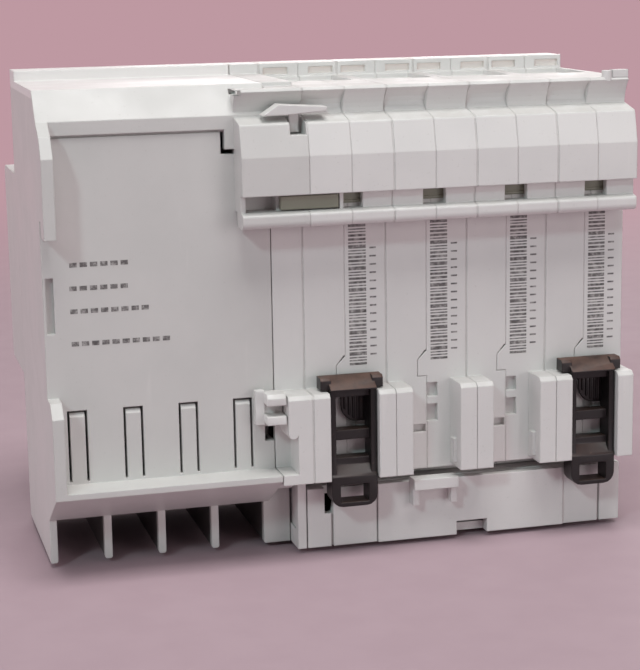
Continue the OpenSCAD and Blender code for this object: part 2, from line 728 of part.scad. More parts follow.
// Outline of a cable opening, whose lower edges round off the fins' ends
module bay_outline() {
  half = bay_w / 2;
  edge = concat(arc(half + fin_round, foot_z + fin_round, fin_round, 180, 270),
    [[half + fin_round, foot_z - eps]]);
  polygon(concat([[-half, bay_roof_z], [half, bay_roof_z]], edge,
    [for (n = [len(edge) - 1 : -1 : 0]) [-edge[n][0], edge[n][1]]]));
}

// Outline of the end wall's ridge and lower block
module end_wall_outline() {
  polygon([[band_d, bevel_z], [ridge_y - shoulder[0], bevel_z - shoulder[1]], [ridge_y, end_crease_z],
    [ridge_y, lip_z], [hook_gap, lip_z], [hook_gap, groove_z], [-wall, groove_z], [-wall, bevel_z]]);
  polygon([[-wall, ledge_z - eps], [-wall, end_block_z], [ridge_y - end_cut, end_block_z],
    [ridge_y, end_block_z - end_cut], [ridge_y, ledge_z - eps]]);
}

// Outline of the ridge alone, cut at the back wall
module ridge_outline() {
  polygon(concat(ridge_points(0), [[-wall, groove_z], [-wall, top_z]]));
}

// Back housing of the add-on: panel, ridge, end wall, ledge, fins and cable openings
module addon_housing() {
  s0 = plate_w + 0.1;
  color(addon_grey) {
    difference() {
      union() {
        along_x(addon_x(s0), addon_x(addon_w)) addon_outline();
        along_x(addon_x(parting - seam / 2), addon_x(addon_ridge_w)) ridge_outline();
        span([addon_x(2.2), wall - body_d, foot_z], [addon_x(s0) + eps, -fin_set, -top_z - arm_gap]);
        along_x(addon_x(addon_w - end_wall), addon_x(addon_w)) end_wall_outline();
        span([addon_x(addon_ridge_w) - eps, -eps, panel_top_z - corner_h],
          [addon_x(addon_ridge_w + corner_w), band_d, panel_top_z + eps]);
      }
      along_x(addon_x(s0 + inner_wall), addon_x(addon_w - side_wall)) polygon([[-body_d, bay_roof_z + wall],
        [-wall - fin_set, bay_roof_z + wall], [-wall, ledge_z - ledge_t], [-wall, panel_top_z],
        [-bevel_d - wall, addon_top_z - wall], [-body_d, addon_top_z - wall]]);
      span([addon_x(2.2) - eps, lead_y(pole_count) - 2, foot_z + 2.6],
        [addon_x(s0) + eps, lead_y(1) + 2, -top_z + eps]);
      for (k = poles) translate([addon_x(bay_s(k)), 0, 0]) {
        rotate([90, 0, 0]) linear_extrude(body_d - 4) bay_outline();
        span([cage_side - out_cage_w / 2, tongue_back_y + 0.1, bay_roof_z - eps],
          [out_cage_w / 2 - cage_side, wire_back_y, bay_roof_z + wall + eps]);
      }
      for (k = [0 : pole_count - 1]) translate([addon_x(tab_s + tab_pitch * k), 0, 0]) tab_slit();
      span([addon_x(s0) - eps, lead_y(pole_count) - 2, -3],
        [addon_x(s0 + inner_wall) + eps, lead_y(1) + 2, 3]);
      span([addon_x(addon_ridge_w + corner_w), -wall - eps, panel_top_z - corner_h - 1],
        [addon_x(addon_ridge_w + corner_w) + 0.75, eps, panel_top_z - slot_t]);
      span([addon_x(addon_ridge_w), -wall - eps, panel_top_z - corner_h - 1],
        [addon_x(addon_ridge_w + corner_w) + eps, eps, panel_top_z - corner_h]);
      span([addon_x(addon_ridge_w - 1.3), -bevel_d, top_z - 1.2],
        [addon_x(addon_ridge_w) + 0.1, ridge_y, top_z - 0.2]);
      span([addon_x(latch_s[1] - 2.9), -3 * wall, latch_top_z + latch_hole_z[0]],
        [addon_x(latch_s[1] - 0.8), eps, latch_top_z + latch_hole_z[1]]);
      coupling_slot(addon_x(0) - eps, addon_x(addon_ridge_w - 1));
      span([addon_x(slide_half), slot_t, sunk_floor_z], [addon_x(addon_ridge_w - 1), ridge_y, sunk_top_z]);
      span([addon_x(recess_s[0]) - eps, stem_y[0] - clear, recess_z],
        [addon_x(recess_s[1]), ridge_y, ridge_foot_z + eps]);
      span([addon_x(addon_w - 2.2), -1.2, -5.4], [addon_x(addon_w - 0.6), eps, 6]);
    }
    for (s = [ring_s + 1, ring_s + ring_l - 3])
      span([addon_x(s), lead_mid_y + ring_out_r + clear, -6], [addon_x(s + 2), -wall + 0.1, 6]);
  }
}

// U-shaped slit round a spring tongue of the panel, whose upper end is bevelled
module tab_slit() {
  half = tab_w / 2;
  bevel_low_z = tab_top_z - slot_t - tab_bevel;
  for (x = [-half, half - slot_t]) span([x, -wall - eps, ledge_z + 0.6], [x + slot_t, eps, tab_top_z]);
  span([-half, -wall - eps, tab_top_z - slot_t], [half, eps, tab_top_z]);
  along_x(slot_t / 2 - half, half - slot_t / 2) polygon([[-tab_bevel, tab_top_z - slot_t / 2],
    [0, bevel_low_z], [eps, bevel_low_z], [eps, tab_top_z - slot_t / 2]]);
}

// Coupling plate between add-on and breaker, under the add-on's ridge: floor, finger, leg and a hollow
// for the risers
module addon_coupling_plate() {
  x0 = addon_x(seam / 2);
  x1 = addon_x(plate_w - 0.1);
  color(addon_grey) difference() {
    union() {
      along_x(x0, x1) intersection() {
        pole_outline(0);
        translate([wall - body_d, -body_h]) square([body_d + ridge_y, 2 * body_h]);
      }
      span([x0, wall - body_d, top_z - wall], [x1, -6, addon_top_z]);
      span([x0, wall - body_d, foot_z], [addon_x(2), 0, relief_z + eps]);
      along_x(addon_x(finger_s[0]), x1) polygon([[-eps, ledge_z], [ledge_d, ledge_z],
        [ledge_d, ledge_z - ledge_t], [-eps, ledge_z - ledge_t - ledge_d / 2]]);
    }
    span([addon_x(1.6), 4 - body_d, foot_z + 4], [x1 + eps, -wall, top_z - wall]);
    span([x0 - eps, lead_y(pole_count) - 2, foot_z + 2.6], [addon_x(2) + eps, lead_y(1) + 2, foot_z + 8.6]);
    span([addon_x(finger_s[1]), 0, ledge_z], [x1 + eps, ridge_y + eps, block_top_z + eps]);
    difference() {
      span([addon_x(finger_s[0]), 0, ledge_z], [x1 + eps, ridge_y + eps, block_top_z - finger_h]);
      translate([addon_x((finger_s[0] + finger_s[1]) / 2), 0, block_top_z - finger_h])
        bar_y((finger_s[1] - finger_s[0]) / 2, -eps, ridge_y + 2 * eps);
    }
    span([x0 - eps, -wall - parting, lip_z - parting], [x1 + eps, ridge_y + eps, addon_top_z + eps]);
  }
}

// Front cover of the add-on: shoulder plate and hollow nose, with entries for screws, lever and button
module addon_front_cover() {
  x0 = addon_x(seam / 2);
  x1 = addon_x(addon_w);
  color(addon_grey) difference() {
    union() {
      span([x0, -body_d, foot_z], [x1, wall - body_d - 0.1, top_z + strip_h]);
      along_x(x0, x1) polygon([[wall - body_d - 0.1, -nose_z], [nose_cut - nose_d, -nose_z],
        [-nose_d, nose_cut - nose_z], [-nose_d, nose_z - nose_cut], [nose_cut - nose_d, nose_z],
        [wall - body_d - 0.1, nose_z]]);
      for (k = poles) translate([addon_x(bay_s(k)), 0, out_z])
        bar_y(head_bore_r + 1.1, -body_d, head_back_y - 0.4);
    }
    span([x0 + wall, wall - nose_d, wall - nose_z], [x1 - wall, -body_d + wall + eps, nose_z - wall]);
    for (k = poles) translate([addon_x(bay_s(k)), 0, out_z])
      bar_y(head_bore_r, -body_d - eps, head_back_y);
    for (side = [0, 1]) mirror([0, 0, side])
      span([addon_x(side_wall + 2), -nose_d - eps, slot_half_h + 2],
        [addon_x(addon_w - side_wall - 2), label_d - nose_d, nose_z - nose_cut - 1]);
    span([addon_x(lever_s) - hub_w / 2 - clear, -nose_d - eps, -slot_half_h],
      [addon_x(lever_s) + hub_w / 2 + clear, wall - nose_d + eps, slot_half_h]);
    translate([addon_x(button_s), 0, 0]) bar_y(button_r + clear, -nose_d - eps, wall - nose_d + eps);
  }
  color(addon_grey) for (side = [0, 1]) translate([addon_x(lever_s), 0, 0]) mirror([side, 0, 0])
  difference() {
    span([hub_w / 2 + clear, wall - nose_d - 0.1, -6], [hub_w / 2 + clear + 2, toggle_y + 5, 6]);
    translate([0, toggle_y, 0]) bar_x(axle_r + pivot_clear, 0, hub_w);
  }
}

module reset_lever() {
  color(cream) translate([addon_x(lever_s), 0, 0]) lever(hub_w, hub_w / 2 + clear + 1.8);
}

// Test button with a flange behind the nose wall
module test_button() {
  color(cream) translate([addon_x(button_s), 0, 0]) {
    bar_y(button_r, -nose_d - button_travel - button_proud, wall - nose_d + clear);
    bar_y(button_r + button_flange, wall - nose_d + clear, wall - nose_d + clear + button_flange);
  }
}

// Tray of the arm under the breaker, open at the back between its two ends
module arm_tray() {
  x0 = left_x + seam / 2;
  x1 = joint_x - seam / 2;
  arm_top_z = foot_z + arm_h;
  color(addon_grey) difference() {
    span([x0, -arm_d, foot_z], [x1, 0, arm_top_z]);
    span([x0 + wall, wall - arm_d, foot_z + wall], [x1 - wall, -wall, arm_top_z - wall]);
    span([joint_x - cover_joint[1], -wall - eps, foot_z - eps],
      [joint_x - cover_joint[0], eps, arm_top_z + eps]);
    for (i = poles) span([pole_x(i) - tongue_w / 2 - 0.6, tongue_back_y - 0.6, arm_top_z - wall - eps],
      [pole_x(i) + tongue_w / 2 + 0.6, tongue_back_y + 3.6, arm_top_z + eps]);
    span([x1 - wall - eps, lead_y(pole_count) - 2, foot_z + 2.6], [x1 + eps, lead_y(1) + 2, foot_z + 8.6]);
    for (s = arm_joint)
      span([joint_x - s - slot_t / 2, -0.8, foot_z - eps], [joint_x - s + slot_t / 2, eps, arm_top_z + eps]);
    translate([joint_x - arm_joint[0], 0, arm_top_z]) rotate([90, 0, 0])
      linear_extrude(2 * wall + 2 * eps, center = true)
        polygon([[-gap_w / 2, eps], [gap_w, eps], [gap_w, -gap_h], [0, -gap_h]]);
  }
}

// Cover over the open back of the arm, notched at its lower edge
module arm_cover() {
  mid = joint_x - (cover_joint[0] + cover_joint[1]) / 2;
  color(addon_grey) difference() {
    span([joint_x - cover_joint[1] + seam / 2, -wall + 0.05, foot_z],
      [joint_x - cover_joint[0] - seam / 2, 0.5, foot_z + arm_h]);
    span([mid - cover_notch_w / 2, -wall - eps, foot_z - eps],
      [mid + cover_notch_w / 2, 1, foot_z + cover_notch_h]);
  }
}

// Staple-shaped bracket on the arm's cover
module arm_lock_bracket() {
  bracket_x = joint_x - bracket_s;
  z1 = foot_z + arm_h + 1.2;
  color(addon_grey) {
    span([bracket_x - bracket_half, 0.8, z1 - 2.4], [bracket_x + bracket_half, 4.2, z1]);
    for (x = [-bracket_half, bracket_half - bracket_leg])
      span([bracket_x + x, 0.55, z1 - bracket_h], [bracket_x + x + bracket_leg, 3, z1 - 0.1]);
  }
}

// Conductors: tail in a lower terminal, run through the arm, riser, pass through the ring core and
// outgoing tongue
module addon_conductors() {
  color(copper) for (i = poles) {
    y0 = lead_y(i) - lead_t / 2;
    y1 = lead_y(i) + lead_t / 2;
    k = pole_count + 1 - i;
    px = pole_x(i);
    sx = addon_x(bay_s(k));
    rx = addon_x(riser_s);
    leg_x = max(sx, addon_x(ring_s + ring_l + leg_half + clear));
    foot_low = out_z + cage_h / 2 + 2;
    tail_y = tongue_back_y + 0.05;
    tail_t = wire_gap - cage_travel - 0.1;
    low = lead_run_z - lead_h / 2;
    half = tongue_w / 2;
    span([px - half, tail_y, low], [px + half, tail_y + tail_t, -screw_z + cage_h / 2]);
    span([px - half, min(tail_y, y0), low], [px + half, y1, low + lead_h]);
    span([px - half, y0, low], [rx + lead_t, y1, low + lead_h]);
    span([rx, y0, low], [rx + lead_t, y1, lead_h / 2]);
    span([rx, y0, -lead_h / 2], [leg_x + leg_half, y1, lead_h / 2]);
    span([leg_x - leg_half, y0, foot_low], [leg_x + leg_half, y1, lead_h / 2]);
    span([sx - half, tongue_y, foot_low], [sx + half, y1, foot_low + lead_t]);
    span([sx - half, y0, foot_low], [leg_x + leg_half, y1, foot_low + lead_t]);
    span([sx - half, tongue_y, out_z - cage_h / 2], [sx + half, tongue_back_y, foot_low + lead_t]);
  }
}

// Ring core of the residual-current transformer and the winding laid round it
module ring_core() {
  color([0.25, 0.25, 0.27]) translate([addon_x(ring_s), lead_mid_y, 0]) difference() {
    bar_x(ring_out_r - ring_skin - ring_clear, ring_skin + ring_clear, ring_l - ring_skin - ring_clear);
    bar_x(ring_in_r + ring_skin + ring_clear, 0, ring_l);
  }
}

module ring_winding() {
  color(copper) translate([addon_x(ring_s), lead_mid_y, 0]) difference() {
    bar_x(ring_out_r, 0, ring_l);
    bar_x(ring_in_r, -eps, ring_l + eps);
    difference() {
      bar_x(ring_out_r - ring_skin, ring_skin, ring_l - ring_skin);
      bar_x(ring_in_r + ring_skin, 0, ring_l);
    }
  }
}

module trip_relay() {
  color(khaki) span([addon_x(relay_s), -wall - clear - relay_d, relay_z],
    [addon_x(relay_s + relay_w), -wall - clear, relay_z + relay_h]);
}

// Latch beside the last pole, drawn lowered: top bar, back plate, cross bar and a side post
module addon_rail_latch() {
  x0 = addon_x(latch_s[0] + clear);
  x1 = addon_x(latch_s[1]);
  out = ridge_y - latch_out;
  low_z = latch_top_z - latch_cross[0];
  color(addon_grey) {
    along_x(x0, x1) polygon([[hook_gap - 0.4, latch_top_z - latch_bar_h], [hook_gap - 0.4, latch_top_z],
      [out - block_edge, latch_top_z], [out, latch_top_z - block_edge], [out, latch_top_z - latch_bar_h]]);
    span([x0, clear, low_z], [x1, hook_gap + 0.6, latch_top_z - 0.6]);
    span([x0, clear, low_z], [x1, out, latch_top_z - latch_cross[1]]);
    span([x1 - 0.1, hook_gap - 0.4, low_z - 0.5], [x1 + hook_gap, hook_gap + 1.4, latch_top_z + 0.4]);
  }
}

pole_shell(1, false);  // pole_1_left_shell
pole_shell(1, true);  // pole_1_right_shell
pole_shell(2, false);  // pole_2_left_shell
pole_shell(2, true);  // pole_2_right_shell
pole_shell(3, false);  // pole_3_left_shell
pole_shell(3, true);  // pole_3_right_shell
pole_shell(4, false);  // pole_4_left_shell
pole_shell(4, true);  // pole_4_right_shell
shell_rivets();
toggle(1);  // toggle_1
toggle(2);  // toggle_2
toggle(3);  // toggle_3
toggle(4);  // toggle_4
toggle_tie_bar();
contact_arm(1);  // contact_arm_1
contact_arm(2);  // contact_arm_2
contact_arm(3);  // contact_arm_3
contact_arm(4);  // contact_arm_4
fixed_contacts();
arc_chutes();
trip_coils();
bimetal_strips();
upper_cage(1);  // upper_cage_1
upper_cage(2);  // upper_cage_2
upper_cage(3);  // upper_cage_3
upper_cage(4);  // upper_cage_4
upper_screw(1);  // upper_screw_1
upper_screw(2);  // upper_screw_2
upper_screw(3);  // upper_screw_3
upper_screw(4);  // upper_screw_4
lower_cages();
lower_screws();
rail_clip(1);  // rail_clip_left
rail_clip(pole_count);  // rail_clip_right
addon_housing();
addon_front_cover();
addon_coupling_plate();
arm_tray();
arm_cover();
arm_lock_bracket();
addon_conductors();
ring_core();
ring_winding();
trip_relay();
coupling_slide();
top_clip();
addon_rail_latch();
test_button();
reset_lever();
outgoing_cage(1);  // outgoing_cage_1
outgoing_cage(2);  // outgoing_cage_2
outgoing_cage(3);  // outgoing_cage_3
outgoing_cage(4);  // outgoing_cage_4
outgoing_screw(1);  // outgoing_screw_1
outgoing_screw(2);  // outgoing_screw_2
outgoing_screw(3);  // outgoing_screw_3
outgoing_screw(4);  // outgoing_screw_4
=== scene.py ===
"""Looks of a four-pole circuit breaker with a residual-current add-on block, seen from its rail side."""

import logging
import math
from dataclasses import dataclass
from enum import Enum
from typing import Iterable, Sequence

import bmesh
import bpy
from mathutils import Matrix, Vector


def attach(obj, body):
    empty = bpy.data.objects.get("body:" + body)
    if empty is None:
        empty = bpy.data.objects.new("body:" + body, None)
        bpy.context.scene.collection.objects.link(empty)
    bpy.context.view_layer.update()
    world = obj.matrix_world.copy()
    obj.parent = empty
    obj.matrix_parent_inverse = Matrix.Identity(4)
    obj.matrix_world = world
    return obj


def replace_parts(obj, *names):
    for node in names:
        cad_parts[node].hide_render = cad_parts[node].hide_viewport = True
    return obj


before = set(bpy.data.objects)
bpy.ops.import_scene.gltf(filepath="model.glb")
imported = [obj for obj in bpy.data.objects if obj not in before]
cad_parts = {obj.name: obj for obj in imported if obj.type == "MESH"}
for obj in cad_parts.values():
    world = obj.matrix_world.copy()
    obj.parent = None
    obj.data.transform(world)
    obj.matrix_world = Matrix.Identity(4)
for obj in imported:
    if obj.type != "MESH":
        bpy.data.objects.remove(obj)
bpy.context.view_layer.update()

LOG = logging.getLogger("breaker")
MM = 0.001
Colour = tuple[float, float, float]
Point = tuple[float, float, float]
Spot = tuple[float, float]
Span = tuple[float, float]
Outline = Sequence[Spot]
WELD = 0.000005
ROUND_STEPS = 3
FLAT_ANGLE = math.radians(2)
EDGE_ANGLE = math.radians(35)
SMOOTH_ANGLE = math.radians(50)
CORNER_ANGLE = 0.45
ALONG_NORMAL = 0.999


class Axis(Enum):
    """Direction in which a flat outline is extruded."""

    X = 0
    Y = 1
    Z = 2


class Brush(Enum):
    """Direction in which a metal was drawn or rolled."""

    ALONG_X = (0.06, 1.0, 1.0)
    ROUND = (1.0, 1.0, 1.0)


def linear(colour: Colour) -> tuple[float, float, float, float]:
    """Turns a colour as seen on a screen into the renderer's linear values.

    Args:
        colour: Red, green and blue from 0 to 1, as on a screen.

    Returns:
        The linear red, green and blue, with full alpha.
    """
    steps = [c / 12.92 if c <= 0.04045 else ((c + 0.055) / 1.055) ** 2.4 for c in colour]
    return (*steps, 1.0)


class NodeSheet:
    """A node tree being wired, with short calls for adding and joining nodes."""

    COLUMN_W = 190
    ROW_H = 160
    ROWS = 4

    def __init__(self, tree: bpy.types.NodeTree) -> None:
        """Keeps the tree and clears it.

        Args:
            tree: The material's or group's node tree.
        """
        self.tree = tree
        self.tree.nodes.clear()
        self.column = 0

    def add(self, kind: str, **settings: object) -> bpy.types.Node:
        """Adds a node and sets its properties.

        Args:
            kind: The node's type name, without its ShaderNode prefix.
            **settings: Properties of the node.

        Returns:
            The new node.
        """
        name = kind if kind.startswith("Node") else "ShaderNode" + kind
        node = self.tree.nodes.new(name)
        node.location = (self.column * self.COLUMN_W, -(self.column % self.ROWS) * self.ROW_H)
        self.column += 1
        for key, value in settings.items():
            setattr(node, key, value)
        return node

    def feed(self, target: bpy.types.NodeSocket, value: object) -> None:
        """Joins a socket to an input, or sets the input to a plain value."""
        if isinstance(value, bpy.types.NodeSocket):
            self.tree.links.new(value, target)
        else:
            target.default_value = value

    def place(self) -> bpy.types.NodeSocket:
        """Gives the object's own coordinates."""
        return self.add("TexCoord").outputs["Object"]

    def axes(self, vector: bpy.types.NodeSocket) -> bpy.types.NodeOutputs:
        """Splits a vector into its X, Y and Z."""
        node = self.add("SeparateXYZ")
        self.feed(node.inputs[0], vector)
        return node.outputs

    def math(self, operation: str, *values: object, clamp: bool = False) -> bpy.types.NodeSocket:
        """Adds a Math node.

        Args:
            operation: The node's operation.
            *values: Sockets or numbers for its inputs.
            clamp: Whether the result is kept between 0 and 1.

        Returns:
            The result's socket.
        """
        node = self.add("Math", operation=operation, use_clamp=clamp)
        for target, value in zip(node.inputs, values):
            self.feed(target, value)
        return node.outputs[0]

    def ramp(
        self, value: object, low: float, high: float, to_low: float = 0.0, to_high: float = 1.0,
    ) -> bpy.types.NodeSocket:
        """Maps a value smoothly from one range to another.

        Args:
            value: The socket to map.
            low: Value that gives to_low.
            high: Value that gives to_high.
            to_low: Result at the low end.
            to_high: Result at the high end.

        Returns:
            The mapped value's socket.
        """
        node = self.add("MapRange", interpolation_type="SMOOTHSTEP")
        for target, given in zip(node.inputs, (value, low, high, to_low, to_high)):
            self.feed(target, given)
        return node.outputs[0]

    def mix(self, mask: object, first: object, second: object) -> bpy.types.NodeSocket:
        """Mixes two colours by a mask, through the colour sockets of a Mix node.

        Args:
            mask: Socket or number, 0 for the first colour and 1 for the second.
            first: Socket or colour.
            second: Socket or colour.

        Returns:
            The mixed colour's socket.
        """
        node = self.add("Mix", data_type="RGBA", clamp_factor=True)
        for index, value in ((0, mask), (6, first), (7, second)):
            self.feed(node.inputs[index], value)
        return node.outputs[2]

    def noise(
        self, vector: object, scale: object, detail: float, roughness: float = 0.5,
    ) -> bpy.types.NodeSocket:
        """Adds a noise texture.

        Args:
            vector: Coordinates' socket.
            scale: Socket or number.
            detail: Number of finer layers.
            roughness: Strength of the finer layers.

        Returns:
            The noise value's socket.
        """
        node = self.add("TexNoise", noise_dimensions="3D")
        self.feed(node.inputs["Vector"], vector)
        self.feed(node.inputs["Scale"], scale)
        self.feed(node.inputs["Detail"], detail)
        self.feed(node.inputs["Roughness"], roughness)
        return node.outputs[0]

    def group(self, tree: bpy.types.NodeTree, **values: object) -> bpy.types.Node:
        """Places a node group.

        Args:
            tree: The group.
            **values: Its inputs, with underscores for spaces.

        Returns:
            The group's node.
        """
        node = self.add("Group", node_tree=tree)
        for key, value in values.items():
            self.feed(node.inputs[key.replace("_", " ")], value)
        return node


def new_material(name: str) -> tuple[bpy.types.Material, NodeSheet]:
    """Makes an empty material.

    Args:
        name: The material's name.

    Returns:
        The material and its cleared sheet.
    """
    made = bpy.data.materials.new(name)
    made.use_nodes = True
    return made, NodeSheet(made.node_tree)


def new_object(name: str, data: bpy.types.ID) -> bpy.types.Object:
    """Makes an object of a mesh, lamp or camera and puts it in the scene.

    Args:
        name: The object's name.
        data: What it shows.

    Returns:
        The new object.
    """
    obj = bpy.data.objects.new(name, data)
    bpy.context.scene.collection.objects.link(obj)
    return obj


def new_piece(name: str, work: bmesh.types.BMesh) -> bpy.types.Object:
    """Turns a worked mesh into an object, and frees it.

    Args:
        name: The piece's name.
        work: The worked mesh.

    Returns:
        The new object, in the part's frame.
    """
    data = bpy.data.meshes.new(name)
    work.to_mesh(data)
    work.free()
    return new_object(name, data)


class SurfaceGroups:
    """The shader node groups that several finishes share, each built once."""

    def __init__(self) -> None:
        """Builds every group."""
        self.skin = self.moulded_skin()
        self.edge = self.worn_edge()
        self.dust_shade_and_sheen = self.settled_dust_shade_and_sheen()
        self.scuff = self.handling_scuffs()

    @staticmethod
    def start(
        name: str, inputs: dict[str, float], outputs: dict[str, str],
    ) -> tuple[NodeSheet, bpy.types.Node, bpy.types.Node]:
        """Makes an empty group with its sockets.

        Args:
            name: The group's name.
            inputs: Names and default values of its number inputs.
            outputs: Names and kinds of its outputs.

        Returns:
            The group's sheet, its input node and its output node.
        """
        tree = bpy.data.node_groups.new(name, "ShaderNodeTree")
        for key, value in inputs.items():
            socket = tree.interface.new_socket(name=key, in_out="INPUT", socket_type="NodeSocketFloat")
            socket.default_value = value
        for key, kind in outputs.items():
            tree.interface.new_socket(name=key, in_out="OUTPUT", socket_type=kind)
        sheet = NodeSheet(tree)
        return sheet, sheet.add("NodeGroupInput"), sheet.add("NodeGroupOutput")

    def moulded_skin(self) -> bpy.types.NodeTree:
        """Builds the skin of a spark-eroded mould: fine grain and faint cloudy flow marks.

        Returns:
            A group with outputs Height, Cloud and Fleck.
        """
        sheet, given, out = self.start(
            "moulded_skin",
            {"Grain Scale": 2600.0, "Cloud Scale": 60.0},
            {"Height": "NodeSocketFloat", "Cloud": "NodeSocketFloat", "Fleck": "NodeSocketFloat"},
        )
        place = sheet.place()
        grain = sheet.noise(place, given.outputs["Grain Scale"], 2.0, 0.6)
        cloud = sheet.noise(place, given.outputs["Cloud Scale"], 4.0, 0.55)
        speck = sheet.noise(place, 1500.0, 1.0)
        sheet.feed(out.inputs["Height"], grain)
        sheet.feed(out.inputs["Cloud"], sheet.ramp(cloud, 0.3, 0.7))
        sheet.feed(out.inputs["Fleck"], sheet.ramp(speck, 0.7, 0.76))
        return sheet.tree

    def worn_edge(self) -> bpy.types.NodeTree:
        """Builds rounded edges and the mask of their wear.

        Returns:
            A group with outputs Mask and Normal.
        """
        sheet, given, out = self.start(
            "worn_edge",
            {"Radius": 0.0003, "Breakup": 400.0},
            {"Mask": "NodeSocketFloat", "Normal": "NodeSocketVector"},
        )
        bevel = sheet.add("Bevel", samples=6)
        sheet.feed(bevel.inputs["Radius"], given.outputs["Radius"])
        geometry = sheet.add("NewGeometry")
        dot = sheet.add("VectorMath", operation="DOT_PRODUCT")
        sheet.feed(dot.inputs[0], bevel.outputs[0])
        sheet.feed(dot.inputs[1], geometry.outputs["True Normal"])
        turn = sheet.ramp(sheet.math("SUBTRACT", 1.0, dot.outputs["Value"]), 0.01, 0.16)
        place = sheet.place()
        broken = sheet.ramp(sheet.noise(place, given.outputs["Breakup"], 3.0, 0.6), 0.35, 0.6)
        sheet.feed(out.inputs["Mask"], sheet.math("MULTIPLY", turn, broken))
        sheet.feed(out.inputs["Normal"], bevel.outputs[0])
        return sheet.tree

    def settled_dust_shade_and_sheen(self) -> bpy.types.NodeTree:
        """Builds the mask of dust on faces that look up; the materials also use it to paint shade on the
        pole tops and a sheen on the clips' hooks.

        Returns:
            A group with output Mask.
        """
        sheet, given, out = self.start(
            "settled_dust_shade_and_sheen", {"Amount": 0.4, "Patch Scale": 120.0}, {"Mask": "NodeSocketFloat"},
        )
        normal = sheet.axes(sheet.add("NewGeometry").outputs["True Normal"])
        up = sheet.ramp(normal[2], 0.2, 0.95)
        place = sheet.place()
        patch = sheet.ramp(sheet.noise(place, given.outputs["Patch Scale"], 5.0, 0.6), 0.15, 0.65)
        lying_dust_shade_and_sheen = sheet.math("MULTIPLY", up, patch)
        sheet.feed(out.inputs["Mask"], sheet.math("MULTIPLY", lying_dust_shade_and_sheen, given.outputs["Amount"]))
        return sheet.tree

    def handling_scuffs(self) -> bpy.types.NodeTree:
        """Builds sparse fine rub marks, long across the rail's direction.

        Returns:
            A group with output Mask.
        """
        sheet, given, out = self.start(
            "handling_scuffs", {"Amount": 0.5, "Scale": 300.0}, {"Mask": "NodeSocketFloat"},
        )
        stretch = sheet.add("Mapping")
        sheet.feed(stretch.inputs["Vector"], sheet.place())
        sheet.feed(stretch.inputs["Scale"], (1.0, 1.0, 0.08))
        sheet.feed(stretch.inputs["Rotation"], (0.0, 0.35, 0.2))
        lines = sheet.ramp(sheet.noise(stretch.outputs[0], given.outputs["Scale"], 2.0), 0.66, 0.74)
        area = sheet.ramp(sheet.noise(sheet.place(), 45.0, 2.0), 0.5, 0.65)
        rubbed = sheet.math("MULTIPLY", lines, area)
        sheet.feed(out.inputs["Mask"], sheet.math("MULTIPLY", rubbed, given.outputs["Amount"]))
        return sheet.tree


@dataclass(frozen=True)
class Zone:
    """A box of a moulding, in its own millimetres, whose surface has another colour, used to paint shade
    and highlight.
    """

    low: Point
    high: Point
    colour: Colour
    share: float = 1.0
    soft: float = 0.4

    def mask(self, sheet: NodeSheet) -> bpy.types.NodeSocket:
        """Masks the surface inside the box.

        Args:
            sheet: The material's sheet.

        Returns:
            The mask's socket.
        """
        inside = self.share
        for level, low, high in zip(sheet.axes(sheet.place()), self.low, self.high):
            for edge, inner in ((low, low + self.soft), (high, high - self.soft)):
                inside = sheet.math("MULTIPLY", inside, sheet.ramp(level, edge * MM, inner * MM))
        return inside


